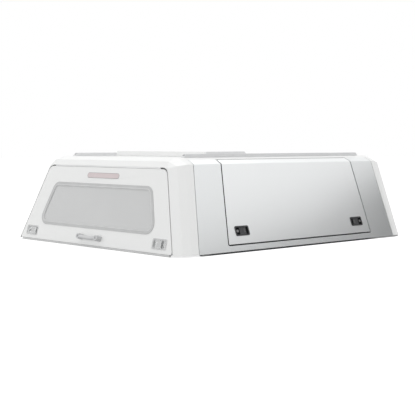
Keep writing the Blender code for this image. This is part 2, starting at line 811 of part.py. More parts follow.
def window(end, wall, depth):
    """Make one window in a wall of a given thickness; returns its hole, seal and glass."""
    hole = prism(
        end + "_window_hole", window_outline(SEAL_OVERLAP), wall, -THROUGH, CLEAR, cutter=True
    )
    seal = prism(end + "_window_seal", window_outline(), wall, JOINT, SEAL_PROUD + JOINT)
    plug = prism(
        end + "_window_plug",
        window_outline(SEAL_OVERLAP + JOINT),
        wall,
        -depth,
        SEAL_PROUD / 2,
        cutter=True,
    )
    light_way = prism(
        end + "_window_light", window_outline(SEAL_BAND), wall, -THROUGH, CLEAR, cutter=True
    )
    combine(seal, "UNION", plug)
    combine(seal, "DIFFERENCE", light_way)
    glass = prism(
        end + "_window_glass",
        window_outline(SEAL_BAND + JOINT),
        wall,
        -GLASS_SUNK - GLASS_THICKNESS,
        -GLASS_SUNK,
    )
    paint_rubber(seal)
    paint(glass, (0.18, 0.19, 0.19), 0.08, alpha=0.5)
    return hole, seal, glass


rear_window_hole, rear_window_seal, rear_window_glass = window(
    "rear", REAR_WALL, DOOR_DEPTH
)
front_window_hole, front_window_seal, front_window_glass = window(
    "front", FRONT_WALL, DOOR_DEPTH
)

# Front wall between the front posts
front_wall = shell_piece(
    "front_wall",
    [
        INNER_EDGE.turned(),
        INNER_EDGE.turned().mirrored(),
        wall_plane(FRONT_WALL, FRONT_SEAM_UP, 1),
        Plane((0.0, 0.0, 0.0), (0.0, -1.0, 0.0)),
    ],
)
front_pocket = cut_block(
    "front_wall_pocket",
    shell_planes(FRONT_SKIN)
    + [
        INNER_EDGE.turned().moved(-FRONT_RIM),
        INNER_EDGE.turned().mirrored().moved(-FRONT_RIM),
        wall_plane(FRONT_WALL, FRONT_SEAM_UP - FRONT_RIM, 1),
        wall_plane(FRONT_WALL, FRONT_RIM, -1),
        Plane((0.0, FRONT_FOOT - THROUGH, 0.0), (0.0, -1.0, 0.0)),
    ],
    cutter=True,
)
front_surround = prism(
    "front_window_surround",
    window_outline(-WINDOW_SURROUND),
    FRONT_WALL,
    -CLEAR,
    CLEAR,
    cutter=True,
)
combine(front_pocket, "DIFFERENCE", front_surround)
combine(front_wall, "DIFFERENCE", front_window_hole, front_pocket)
paint_white(front_wall)


# Piano hinges: knuckles in turn on a fixed leaf and on a leaf that the door carries
def knuckle_outline():
    """Section of one knuckle of the fixed leaf: the barrel and the tail into its leaf."""
    thickness = HINGE_LEAF_THICKNESS / 2 - JOINT / 2
    near = HINGE_LEAF_OFFSET - thickness
    far = HINGE_LEAF_OFFSET + thickness
    start = math.pi - math.asin(near / HINGE_BARREL_RADIUS)
    finish = 3 * math.pi - math.asin(far / HINGE_BARREL_RADIUS)
    outline = []
    for step in range(BARREL_STEPS + 1):
        angle = start + (finish - start) * step / BARREL_STEPS
        outline.append(
            (HINGE_BARREL_RADIUS * math.cos(angle), HINGE_BARREL_RADIUS * math.sin(angle))
        )
    tail = -HINGE_BARREL_RADIUS - HINGE_TAIL
    return outline + [(tail, far), (tail, near)]


def hinge(name, frame, start, end):
    """Both leaves of a piano hinge along a frame's third axis, from start to end.
    The frame's first axis points out of the wall and its second towards the door."""
    length = (end - start - (HINGE_KNUCKLES - 1) * HINGE_KNUCKLE_GAP) / HINGE_KNUCKLES
    leaf_top = -HINGE_BARREL_RADIUS - HINGE_KNUCKLE_GAP
    half = HINGE_LEAF_THICKNESS / 2
    leaf_outline = [
        (-HINGE_LEAF_DEPTH, HINGE_LEAF_OFFSET - half),
        (leaf_top, HINGE_LEAF_OFFSET - half),
        (leaf_top, HINGE_LEAF_OFFSET + half),
        (-HINGE_LEAF_DEPTH, HINGE_LEAF_OFFSET + half),
    ]
    moving_section = knuckle_outline()

    def across(outline):
        return [(out, -side) for out, side in reversed(outline)]

    fixed = prism(name + "_fixed_leaf", across(leaf_outline), frame, start, end)
    moving = prism(name + "_door_leaf", leaf_outline, frame, start, end)
    for index in range(HINGE_KNUCKLES):
        low = start + index * (length + HINGE_KNUCKLE_GAP)
        on_fixed = index % 2 == 0
        knuckle = prism(
            "%s_knuckle_%d" % (name, index + 1),
            across(moving_section) if on_fixed else moving_section,
            frame,
            low,
            low + length,
            cutter=True,
        )
        combine(fixed if on_fixed else moving, "UNION", knuckle)
    pin = cylinder(
        name + "_pin",
        frame,
        HINGE_PIN_RADIUS,
        start + HINGE_KNUCKLE_GAP,
        end - HINGE_KNUCKLE_GAP,
        PIN_SIDES,
        cutter=True,
    )
    bore = cylinder(
        name + "_bore", frame, HINGE_BORE_RADIUS, start - WALL, end + WALL, PIN_SIDES, cutter=True
    )
    combine(fixed, "UNION", pin)
    combine(moving, "DIFFERENCE", bore)
    paint_steel(fixed)
    paint_steel(moving)
    return fixed, moving


SIDE_HINGE = wall_frame(
    (HINGE_X, 0.0, HINGE_Z - HINGE_SINK), (0.0, 0.0, 1.0), (1.0, 0.0, 0.0)
)
side_hinge_height = HINGE_Z - BASE_Z
side_hinge_start = (
    rear_y(SIDE_DOOR_REAR_BACK, side_hinge_height, SIDE_DOOR_REAR_LEAN) + HINGE_END_MARGIN
)
side_hinge_end = FRONT_FOOT - SIDE_DOOR_FRONT_BACK - HINGE_END_MARGIN
right_fixed_leaf, right_door_leaf = hinge(
    "right_hinge", SIDE_HINGE, side_hinge_start, side_hinge_end
)

rear_hinge_at = REAR_WALL @ Vector((0.0, REAR_SEAM_UP, -HINGE_SINK))
rear_axes = REAR_WALL.to_3x3()
REAR_HINGE = wall_frame(rear_hinge_at, rear_axes.col[2], -rear_axes.col[1])
rear_hinge_half = (
    rear_half_width(REAR_HINGE_HEIGHT) - REAR_DOOR_TOP_CORNER - HINGE_END_MARGIN
)
rear_fixed_leaf, rear_door_leaf = hinge(
    "rear_hinge", REAR_HINGE, -rear_hinge_half, rear_hinge_half
)


# Paddle latches
def latch(name, place, latch_length, latch_width):
    """One latch on a wall frame whose first axis points to the paddle's free end.
    Returns the hole it needs in the door skin, the pan, the paddle and its pivot."""
    def plate(inset):
        half_length = latch_length / 2 - inset
        half_width = latch_width / 2 - inset
        corners = [
            (-half_length, -half_width),
            (half_length, -half_width),
            (half_length, half_width),
            (-half_length, half_width),
        ]
        radius = max(LATCH_CORNER - inset, LATCH_WALL)
        return round_outline(corners, [radius] * 4, LATCH_ARC_STEPS)

    hole = prism(
        name + "_hole", plate(LATCH_RIM - JOINT), place, -LATCH_DEPTH, LATCH_DEPTH, cutter=True
    )
    pan = prism(name + "_pan", plate(0.0), place, JOINT, JOINT + LATCH_PROUD)
    body = prism(
        name + "_body", plate(LATCH_RIM), place, -LATCH_DEPTH, LATCH_PROUD / 2, cutter=True
    )
    recess = prism(
        name + "_recess",
        plate(LATCH_RIM + LATCH_WALL),
        place,
        LATCH_FLOOR - LATCH_DEPTH,
        LATCH_DEPTH,
        cutter=True,
    )
    recess_half = latch_length / 2 - LATCH_RIM - LATCH_WALL
    recess_side = latch_width / 2 - LATCH_RIM - LATCH_WALL
    free_end = recess_half - PADDLE_END_GAP
    pivot_u = free_end - PADDLE_LENGTH + PADDLE_PIVOT_RADIUS
    lock_u = -recess_half + LOCK_RADIUS + LATCH_WALL
    lock = cylinder(
        name + "_lock",
        place @ Matrix.Translation((lock_u, 0.0, 0.0)),
        LOCK_RADIUS,
        LATCH_FLOOR / 2 - LATCH_DEPTH,
        0.0,
        LOCK_SIDES,
        cutter=True,
    )
    combine(pan, "UNION", body)
    combine(pan, "DIFFERENCE", recess)
    combine(pan, "UNION", lock)
    paint_black(pan)

    side = recess_side - PADDLE_SIDE_GAP
    blade = [
        (free_end - PADDLE_LENGTH, -side),
        (free_end, -side),
        (free_end, side),
        (free_end - PADDLE_LENGTH, side),
    ]
    paddle = prism(
        name + "_paddle",
        round_outline(blade, [LATCH_WALL] * 4, LATCH_ARC_STEPS),
        place,
        LATCH_PROUD / 2 - PADDLE_THICKNESS,
        LATCH_PROUD / 2,
    )
    pivot_n = LATCH_PROUD / 2 - PADDLE_THICKNESS
    pivot = place @ Vector((pivot_u, 0.0, pivot_n))
    spindle = cylinder(
        name + "_spindle",
        place @ Matrix.Translation((pivot_u, 0.0, pivot_n)) @ TURN_UP,
        PADDLE_PIVOT_RADIUS,
        JOINT - recess_side,
        recess_side - JOINT,
        PIN_SIDES,
        cutter=True,
    )
    combine(paddle, "UNION", spindle)
    paint_black(paddle)
    return hole, pan, paddle, pivot


TURN_UP = Matrix.Rotation(math.radians(-90.0), 4, "X")
HALF_TURN = Matrix.Rotation(math.pi, 4, "Z")


def side_latch(name, along, turned=False):
    """A latch on the right side door; a turned one has its free end to the rear."""
    place = RIGHT_WALL @ Matrix.Translation((along, SIDE_LATCH_HEIGHT * SIDE_SLOPE, 0.0))
    if turned:
        place = place @ HALF_TURN
    return latch(name, place, SIDE_LATCH_LENGTH, SIDE_LATCH_WIDTH)


def rear_latch(name, across, turned=False):
    """A latch on the rear door; a turned one has its free end to the left."""
    place = REAR_WALL @ Matrix.Translation((across, REAR_LATCH_HEIGHT * REAR_SLOPE, 0.0))
    if turned:
        place = place @ HALF_TURN
    return latch(name, place, REAR_LATCH_LENGTH, REAR_LATCH_WIDTH)


right_latches = [
    side_latch("right_rear_latch", REAR_FOOT + SIDE_LATCH_REAR_BACK),
    side_latch("right_front_latch", FRONT_FOOT - SIDE_LATCH_FRONT_BACK, turned=True),
]
rear_latches = [
    rear_latch("rear_left_latch", -REAR_LATCH_X),
    rear_latch("rear_right_latch", REAR_LATCH_X, turned=True),
]

# Side doors: a folded tray whose top wraps over the shoulder to the hinge
door_top = Plane((HINGE_X + HINGE_HALF_GAP, 0.0, 0.0), (-1.0, 0.0, 0.0))
side_door_form = side_prism("side_door_form", 0.0, HINGE_X)
side_pocket_form = side_prism("side_pocket_form", -DOOR_RIM, HINGE_X)
side_pocket = cut_block(
    "side_door_pocket",
    shell_planes(DOOR_SKIN) + [door_top.moved(-DOOR_RIM)],
    cutter=True,
)
door_rear_y = rear_y(SIDE_DOOR_REAR_BACK, SIDE_DOOR_BOTTOM, SIDE_DOOR_REAR_LEAN)
rib_pitch = (FRONT_FOOT - SIDE_DOOR_FRONT_BACK - door_rear_y) / (DOOR_RIBS + 1)
door_ribs = []
for index in range(DOOR_RIBS):
    rib_rear = door_rear_y + (index + 1) * rib_pitch
    rib_shape = [
        (rib_rear, 0.0),
        (rib_rear + DOOR_RIB_WIDTH, 0.0),
        (rib_rear + DOOR_RIB_WIDTH, ROOF_Z),
        (rib_rear, ROOF_Z),
    ]
    door_ribs.append(
        prism("door_rib_%d" % (index + 1), rib_shape, SIDE_VIEW, 0.0, WIDTH, cutter=True)
    )
combine(side_pocket, "INTERSECT", side_pocket_form)
combine(side_pocket, "DIFFERENCE", *door_ribs)

right_door = cut_block("right_side_door", shell_planes(), [door_top])
combine(right_door, "INTERSECT", side_door_form)
combine(right_door, "DIFFERENCE", inside_form(DOOR_DEPTH), side_pocket)
combine(right_door, "DIFFERENCE", *[hole for hole, pan, paddle, pivot in right_latches])
paint_silver(right_door)

# Rear door: a folded tray round the window and the brake light
door_edge = CORNER_INNER_X - DOOR_GAP * SIDE_SLOPE
door_corners, door_radii = rear_outline(
    REAR_DOOR_BOTTOM,
    REAR_HINGE_HEIGHT - HINGE_HALF_RISE,
    door_edge,
    REAR_DOOR_LOW_CORNER,
    REAR_DOOR_TOP_CORNER,
)
rear_door = prism(
    "rear_door", round_outline(door_corners, door_radii), REAR_WALL, -DOOR_DEPTH, 0.0
)
rear_pocket = prism(
    "rear_door_pocket",
    round_outline(
        inset_outline(door_corners, DOOR_RIM),
        [max(radius - DOOR_RIM, SMALL_CORNER) for radius in door_radii],
    ),
    REAR_WALL,
    -THROUGH,
    -DOOR_SKIN,
    cutter=True,
)
window_surround = prism(
    "rear_window_surround",
    window_outline(-WINDOW_SURROUND),
    REAR_WALL,
    -THROUGH,
    WALL,
    cutter=True,
)
combine(rear_pocket, "DIFFERENCE", window_surround)


def light_outline(gap):
    """The brake light's long rounded shape."""
    radius = LIGHT_HEIGHT / 2 + gap
    centre = LIGHT_CENTRE * REAR_SLOPE
    half = LIGHT_HALF_LENGTH + gap
    corners = [
        (-half, centre - radius),
        (half, centre - radius),
        (half, centre + radius),
        (-half, centre + radius),
    ]
    return round_outline(corners, [radius - END_FLAT] * 4)


light_hole = prism(
    "brake_light_hole", light_outline(JOINT), REAR_WALL, -WALL, WALL, cutter=True
)
brake_light = prism(
    "brake_light", light_outline(0.0), REAR_WALL, -LIGHT_DEPTH, LIGHT_PROUD
)
paint(brake_light, (0.55, 0.12, 0.12), 0.2)
combine(rear_door, "DIFFERENCE", rear_pocket, rear_window_hole, light_hole)
combine(rear_door, "DIFFERENCE", *[hole for hole, pan, paddle, pivot in rear_latches])
paint_white(rear_door)

# Rubber strip under the rear door
sweep = prism(
    "rear_door_bottom_seal",
    [
        (-SWEEP_HALF, REAR_DOOR_BOTTOM * REAR_SLOPE - SWEEP_DROP - JOINT),
        (SWEEP_HALF, REAR_DOOR_BOTTOM * REAR_SLOPE - SWEEP_DROP - JOINT),
        (SWEEP_HALF, REAR_DOOR_BOTTOM * REAR_SLOPE - JOINT),
        (-SWEEP_HALF, REAR_DOOR_BOTTOM * REAR_SLOPE - JOINT),
    ],
    REAR_WALL,
    -SWEEP_THICKNESS - SWEEP_SET_BACK,
    -SWEEP_SET_BACK,
)
paint_rubber(sweep)

# Grab handle: two round bosses and a bar that bows between them
handle_up = HANDLE_CENTRE * REAR_SLOPE
bar_points = []
for step in range(HANDLE_STEPS + 1):
    share = 2.0 * step / HANDLE_STEPS - 1.0
    bow = HANDLE_BOW * (1.0 - share * share)
    bar_points.append(
        REAR_WALL @ Vector((HANDLE_HALF * share, handle_up - bow, HANDLE_STAND))
    )
grab_handle = tube("grab_handle", bar_points, HANDLE_BAR_RADIUS)
for side_name, share in (("left", -1.0), ("right", 1.0)):
    boss = cylinder(
        "handle_%s_boss" % side_name,
        REAR_WALL @ Matrix.Translation((HANDLE_HALF * share, handle_up, 0.0)),
        HANDLE_BOSS_RADIUS,
        JOINT,
        HANDLE_STAND + HANDLE_BOSS_OVER,
        BOSS_SIDES,
        cutter=True,
    )
    combine(grab_handle, "UNION", boss)
paint_black(grab_handle)


# Bulb seals on the lips of the rebates
def fold_line(first, second):
    """Where two side planes meet, as (x, z)."""
    determinant = first.normal.x * second.normal.z - first.normal.z * second.normal.x
    x = (first.reach * second.normal.z - first.normal.z * second.reach) / determinant
    z = (first.normal.x * second.reach - first.reach * second.normal.x) / determinant
    return x, z


def side_height_x(plane, z):
    """X of a side plane at a height."""
    return (plane.reach - plane.normal.z * z) / plane.normal.x


bulb_depth = REBATE_DEPTH - JOINT - BULB_RADIUS
bulb_face = SIDE_FACE.moved(-bulb_depth)
bulb_shoulder = SHOULDER.moved(-bulb_depth)
bulb_line = side_outline(SIDE_DOOR_GAP - LIP_WIDTH / 2)
bend_x, bend_z = fold_line(bulb_face, bulb_shoulder)
top_x = HINGE_X + LIP_WIDTH / 2
top_z = (bulb_shoulder.reach - bulb_shoulder.normal.x * top_x) / bulb_shoulder.normal.z


def edge_y(low, high, z):
    """Y on a leaning edge of an outline at a height."""
    return low[0] + (high[0] - low[0]) * (z - low[1]) / (high[1] - low[1])


rear_edge = (bulb_line[0], bulb_line[3])
front_edge = (bulb_line[1], bulb_line[2])
low_corners = round_outline(
    [
        bulb_line[0],
        bulb_line[1],
        (edge_y(*front_edge, bend_z), bend_z),
        (edge_y(*rear_edge, bend_z), bend_z),
    ],
    [BULB_CORNER, BULB_CORNER, 0.0, 0.0],
)
bulb_points = [(side_height_x(bulb_face, z), y, z) for y, z in low_corners[:-2]]
bulb_points += [
    (bend_x, edge_y(*front_edge, bend_z), bend_z),
    (top_x, edge_y(*front_edge, top_z), top_z),
    (top_x, edge_y(*rear_edge, top_z), top_z),
    (bend_x, edge_y(*rear_edge, bend_z), bend_z),
]
right_bulb = tube("right_door_seal", bulb_points, BULB_RADIUS, cyclic=True)
paint_rubber(right_bulb)

rear_bulb_outline = round_outline(
    inset_outline(opening, LIP_WIDTH / 2),
    [max(radius - LIP_WIDTH / 2, 0.0) for radius in opening_radii],
)
rear_bulb_foot = REAR_DOOR_BOTTOM * REAR_SLOPE + LIP_WIDTH
upper = [(u, v) for u, v in rear_bulb_outline if v > rear_bulb_foot]
foot_half = rear_half_width(rear_bulb_foot / REAR_SLOPE) - LIP_WIDTH / 2 * SIDE_SLOPE
chain = [(foot_half, rear_bulb_foot)] + upper + [(-foot_half, rear_bulb_foot)]
rear_bulb = tube(
    "rear_door_seal",
    [REAR_WALL @ Vector((u, v, -bulb_depth)) for u, v in chain],
    BULB_RADIUS,
)
paint_rubber(rear_bulb)


# Base frame inside the foot of the walls, and the rubber under them, open at the rear
def base_ring(name, outer_inset, width, low, high, rear_back):
    """A ring that follows the foot of the walls, cut off square behind a line."""
    behind = Plane((0.0, REAR_FOOT + rear_back, 0.0), (0.0, -1.0, 0.0))
    limits = [Plane((0, 0, low), (0, 0, -1)), Plane((0, 0, high), (0, 0, 1))]
    ring = cut_block(name, shell_planes(outer_inset) + limits + [behind])
    core = cut_block(
        name + "_core",
        shell_planes(outer_inset + width)
        + [Plane((0, 0, low - WALL), (0, 0, -1)), Plane((0, 0, high + WALL), (0, 0, 1))],
        cutter=True,
    )
    return combine(ring, "DIFFERENCE", core)


base_frame = base_ring(
    "base_frame",
    WALL + JOINT,
    BASE_FRAME_WIDTH,
    BASE_Z,
    BASE_Z + BASE_FRAME_HEIGHT,
    PANEL_REAR_BACK + BASE_FRAME_SET_BACK,
)
paint_steel(base_frame)
bed_seal = base_ring(
    "bed_seal", BED_SEAL_INSET, BED_SEAL_WIDTH, 0.0, BASE_Z - JOINT, BED_SEAL_REAR_BACK
)
paint_rubber(bed_seal)


# Roof rails: a slotted track with tapered ends
def rail(name):
    rear = REAR_FOOT + RAIL_REAR_BACK
    front = FRONT_FOOT - RAIL_FRONT_BACK
    side_shape = [
        (rear, 0.0),
        (front, 0.0),
        (front - RAIL_TAPER, RAIL_HEIGHT),
        (rear + RAIL_TAPER, RAIL_HEIGHT),
    ]
    frame = wall_frame(
        (RAIL_X, 0.0, ROOF_Z + JOINT), (0.0, 1.0, 0.0), (0.0, 0.0, 1.0)
    )
    track = prism(name, side_shape, frame, -RAIL_WIDTH / 2, RAIL_WIDTH / 2)
    slot_low = RAIL_HEIGHT - RAIL_SLOT_DEPTH
    run = FRONT_FOOT
    slot_shapes = (
        ("slot", RAIL_SLOT_WIDTH, slot_low, RAIL_HEIGHT * 2),
        ("channel", RAIL_CHANNEL_WIDTH, slot_low, slot_low + RAIL_CHANNEL_HEIGHT),
    )
    for label, width, low, high in slot_shapes:
        shape = [(-run, low), (run, low), (run, high), (-run, high)]
        cut = prism("%s_%s" % (name, label), shape, frame, -width / 2, width / 2, cutter=True)
        combine(track, "DIFFERENCE", cut)
    return paint_black(track)


right_rail = rail("right_roof_rail")

# Raised plate across the roof between the rails: a narrow tray, open underneath
def plate_planes(inset):
    """Top and four sides of the raised plate, or of the hollow an inset inside it."""
    rear = REAR_FOOT + ROOF_PLATE_REAR_BACK
    sides = [
        Plane((0.0, 0.0, ROOF_Z + ROOF_PLATE_HEIGHT), (0.0, 0.0, 1.0)),
        Plane((ROOF_PLATE_HALF, 0.0, ROOF_Z), (1.0, 0.0, ROOF_PLATE_SLANT)),
        Plane((-ROOF_PLATE_HALF, 0.0, ROOF_Z), (-1.0, 0.0, ROOF_PLATE_SLANT)),
        Plane((0.0, rear, ROOF_Z), (0.0, -1.0, ROOF_PLATE_SLANT)),
        Plane((0.0, rear + ROOF_PLATE_LENGTH, ROOF_Z), (0.0, 1.0, ROOF_PLATE_SLANT)),
    ]
    return [plane.moved(-inset) for plane in sides]


on_roof = Plane((0.0, 0.0, ROOF_Z + JOINT), (0.0, 0.0, -1.0))
roof_plate = cut_block("raised_roof_plate", plate_planes(0.0), [on_roof])
plate_hollow = cut_block(
    "roof_plate_hollow",
    plate_planes(ROOF_PLATE_WALL) + [on_roof.moved(WALL)],
    cutter=True,
)
combine(roof_plate, "DIFFERENCE", plate_hollow)
paint_white(roof_plate)

# The left side is the mirror image of the right
def left_name(thing):
    return thing.name.replace("right", "left")


for piece in (rear_right_post, front_right_post, right_panel, right_fixed_leaf):
    mirror_left(piece, left_name(piece))
for piece in (right_bulb, right_rail):
    mirror_left(piece, left_name(piece))

# Each door hangs on its hinge pin, and each paddle turns in its pan on the door
right_leaf = [right_door, right_door_leaf]
right_leaf += [pan for hole, pan, paddle, pivot in right_latches]
left_leaf = [mirror_left(piece, left_name(piece)) for piece in right_leaf]
rear_leaf = [rear_door, rear_door_leaf, sweep, grab_handle, brake_light]
rear_leaf += [rear_window_seal, rear_window_glass]
rear_leaf += [pan for hole, pan, paddle, pivot in rear_latches]
TO_LEFT = Vector((-1.0, 1.0, 1.0))
left_paddles = [
    (mirror_left(paddle, left_name(paddle)), pivot * TO_LEFT)
    for hole, pan, paddle, pivot in right_latches
]
right_pivot = SIDE_HINGE @ Vector((0.0, 0.0, (side_hinge_start + side_hinge_end) / 2))
right_empty = hang("right_door_pivot", right_pivot, right_leaf)
left_empty = hang("left_door_pivot", right_pivot * TO_LEFT, left_leaf)
rear_empty = hang("rear_door_pivot", rear_hinge_at, rear_leaf)
for paddle, pivot in left_paddles:
    hang(paddle.name + "_pivot", pivot, [paddle], left_empty)
for hole, pan, paddle, pivot in right_latches:
    hang(paddle.name + "_pivot", pivot, [paddle], right_empty)
for hole, pan, paddle, pivot in rear_latches:
    hang(paddle.name + "_pivot", pivot, [paddle], rear_empty)
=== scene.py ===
import json
import math

import bpy
from mathutils import Matrix, Vector

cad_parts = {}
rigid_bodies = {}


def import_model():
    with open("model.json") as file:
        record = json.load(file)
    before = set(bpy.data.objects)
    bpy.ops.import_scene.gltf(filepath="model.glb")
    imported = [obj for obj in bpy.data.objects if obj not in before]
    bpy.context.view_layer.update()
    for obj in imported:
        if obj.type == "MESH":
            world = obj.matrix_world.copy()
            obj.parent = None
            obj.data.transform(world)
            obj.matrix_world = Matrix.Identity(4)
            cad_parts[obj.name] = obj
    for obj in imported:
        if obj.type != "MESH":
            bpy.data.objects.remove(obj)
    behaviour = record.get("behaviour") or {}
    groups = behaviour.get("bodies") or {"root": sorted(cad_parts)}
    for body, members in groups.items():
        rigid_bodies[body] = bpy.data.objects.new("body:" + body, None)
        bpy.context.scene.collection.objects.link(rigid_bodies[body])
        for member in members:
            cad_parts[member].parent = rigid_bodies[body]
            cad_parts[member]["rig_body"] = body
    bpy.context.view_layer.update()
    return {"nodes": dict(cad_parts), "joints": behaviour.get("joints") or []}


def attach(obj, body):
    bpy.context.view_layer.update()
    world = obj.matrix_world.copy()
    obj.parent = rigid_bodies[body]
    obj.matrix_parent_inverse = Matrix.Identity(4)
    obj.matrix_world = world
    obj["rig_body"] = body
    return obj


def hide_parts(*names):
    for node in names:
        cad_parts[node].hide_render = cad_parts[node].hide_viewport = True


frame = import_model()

# The looks of a pickup truck canopy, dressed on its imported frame: painted sheet, rubber,
# glass, latches, hinges and rails, on a pale studio floor. Lengths are in metres.
nodes = frame["nodes"]


# Roof panel
# One sheet folded down along its edges over a rim and four cross bows, its corners welded
# and ground smooth. The white coat is baked on inside and out.
SHEET_EDGE = 0.0009  # how far a cut or folded edge of the sheet is eased
SHARP_ANGLE = math.radians(50.0)  # folds sharper than this are eased
SMOOTH_ANGLE = math.radians(38.0)  # and softer ones than this shade as one curve
FLAT_ANGLE = math.radians(0.5)  # triangles closer than this are one face
MERGE_REACH = 0.00001  # points nearer than this are one


class Shade:
    """A socket in a material: sums on it add Math nodes, and node() adds any other."""

    def __init__(self, tree, socket=None):
        self.tree = tree
        self.socket = socket

    def node(self, kind, settings, inputs, output=0):
        """A node of a kind, with its settings first and then its inputs."""
        made = self.tree.nodes.new("ShaderNode" + kind)
        for key, value in settings.items():
            setattr(made, key, value)
        for key, value in inputs.items():
            if isinstance(value, Shade):
                self.tree.links.new(value.socket, made.inputs[key])
            else:
                made.inputs[key].default_value = value
        return Shade(self.tree, made.outputs[output])

    def sum(self, operation, first, second):
        return self.node("Math", {"operation": operation}, {0: first, 1: second})

    def __add__(self, other):
        return self.sum("ADD", self, other)

    def __mul__(self, other):
        return self.sum("MULTIPLY", self, other)

    def __sub__(self, other):
        return self.sum("SUBTRACT", self, other)

    def __rsub__(self, other):
        return self.sum("SUBTRACT", other, self)

    __radd__ = __add__
    __rmul__ = __mul__

    def clamp(self):
        """This value held between 0 and 1."""
        return self.node("Clamp", {}, {"Value": self})

    def noise(self, scale, detail=2.0):
        """A cloudy pattern about this place, finer as the scale rises."""
        return self.node("TexNoise", {}, {"Vector": self, "Scale": scale, "Detail": detail})

    def tint(self, colour):
        """The colour made lighter or darker by this value."""
        settings = {"operation": "SCALE"}
        return self.node("VectorMath", settings, {0: colour, "Scale": self})

    def blend(self, first, second):
        """From the first colour to the second as this value rises."""
        settings = {"data_type": "RGBA"}
        sides = [
            value if isinstance(value, Shade) else (*value, 1.0) for value in (first, second)
        ]
        return self.node("Mix", settings, {0: self, 6: sides[0], 7: sides[1]}, 2)

    def bump(self, strength, distance):
        """A surface normal that rises and falls with this value."""
        inputs = {"Strength": strength, "Distance": distance, "Height": self}
        return self.node("Bump", {}, inputs)

    def worn_edges(self, width):
        """1 on the edges of the piece, where hands and cloths rub, and 0 on its flats."""
        contrast = 5.0
        eased = self.node("Bevel", {"samples": 4}, {"Radius": width})
        facing = self.node("NewGeometry", {}, {}, "Normal")
        settings = {"operation": "DOT_PRODUCT"}
        along = self.node("VectorMath", settings, {0: eased, 1: facing}, "Value")
        patchy = self.noise(60.0, 3.0)
        return ((1.0 - along) * contrast * (patchy + 0.3)).clamp()


def new_finish(name, roughness, metallic=0.0, coat=0.0):
    """An empty material: itself, its shader and the place on the piece."""
    material = bpy.data.materials.new(name)
    material.use_nodes = True
    shader = material.node_tree.nodes["Principled BSDF"]
    shader.inputs["Roughness"].default_value = roughness
    shader.inputs["Metallic"].default_value = metallic
    shader.inputs["Coat Weight"].default_value = coat
    place = Shade(material.node_tree).node("TexCoord", {}, {}, "Object")
    return material, shader, place


def feed(shader, **values):
    """Lead values into the shader's sockets, their names written with underscores."""
    for key, value in values.items():
        socket = shader.inputs[key.replace("_", " ")]
        value.tree.links.new(value.socket, socket)


def baked_coat(name, colour, roughness):
    """Powder coat on sheet metal: a slow drift of tone, fine specks and orange peel."""
    material, shader, place = new_finish(name, roughness, coat=0.15)
    shader.inputs["Coat Roughness"].default_value = 0.12
    drift = place.noise(1.6, 3.0)
    speck = place.noise(700.0, 1.0)
    peel = place.noise(330.0, 2.0)
    rubbed = place.worn_edges(0.0015)
    tone = drift * 0.05 + speck * 0.03 - rubbed * 0.05 + 0.96
    feed(
        shader,
        Base_Color=tone.tint(colour),
        Roughness=drift * 0.10 - rubbed * 0.08 + (roughness - 0.05),
        Normal=(peel + speck * 0.4).bump(0.10, 0.0004),
    )
    return material


def pick(piece):
    """Select one piece alone, ready for the modelling operators."""
    bpy.ops.object.select_all(action="DESELECT")
    piece.select_set(True)
    bpy.context.view_layer.objects.active = piece


def finish_edges(piece, edge):
    """Ease the sharp edges of a welded piece and let its flats shade flat."""
    pick(piece)
    eased = piece.modifiers.new("eased_edges", "BEVEL")
    eased.width = edge
    eased.segments = 2
    eased.limit_method = "ANGLE"
    eased.angle_limit = SHARP_ANGLE
    bpy.ops.object.modifier_apply(modifier=eased.name)
    bpy.ops.object.shade_smooth_by_angle(angle=SMOOTH_ANGLE)
    flats = piece.modifiers.new("flat_faces", "WEIGHTED_NORMAL")
    flats.keep_sharp = True
    flats.weight = 100
    bpy.ops.object.modifier_apply(modifier=flats.name)


def welded(node, name):
    """A copy of a node with its loose triangles merged into whole faces."""
    piece = bpy.data.objects.new(name, nodes[node].data.copy())
    bpy.context.scene.collection.objects.link(piece)
    pick(piece)
    bpy.ops.mesh.customdata_custom_splitnormals_clear()
    bpy.ops.object.mode_set(mode="EDIT")
    bpy.ops.mesh.select_all(action="SELECT")
    bpy.ops.mesh.remove_doubles(threshold=MERGE_REACH)
    bpy.ops.mesh.dissolve_limited(angle_limit=FLAT_ANGLE)
    bpy.ops.object.mode_set(mode="OBJECT")
    return piece


def settle(piece, material, slot, body):
    """Give a made piece its finish and the body that carries it; the slot is not used."""
    piece.data.materials.clear()
    piece.data.materials.append(material)
    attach(piece, body)


def dress(node, material, slot, edge):
    """A welded copy of a node with eased edges and a real finish, standing for the node."""
    piece = welded(node, node + "_finished")
    finish_edges(piece, edge)
    settle(piece, material, slot, nodes[node]["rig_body"])
    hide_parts(node)
    return piece


white_coat = baked_coat("white_baked_coat", colour=(0.80, 0.805, 0.80), roughness=0.36)
dress("roof_panel", white_coat, "white_paint", SHEET_EDGE)


# Headers and corner posts
# Folded posts stand at the four corners, and a folded header joins each pair over the
# rear door and over the front wall. They carry the same white coat as the roof.
for node in (
    "rear_header",
    "front_header",
    "rear_right_corner_post",
    "rear_left_corner_post",
    "front_right_corner_post",
    "front_left_corner_post",
):
    dress(node, white_coat, "white_paint", SHEET_EDGE)


# Front wall
# A folded white sheet behind the cab, stiffened by its rim and by a frame round the
# fixed window.
dress("front_wall", white_coat, "white_paint", SHEET_EDGE)


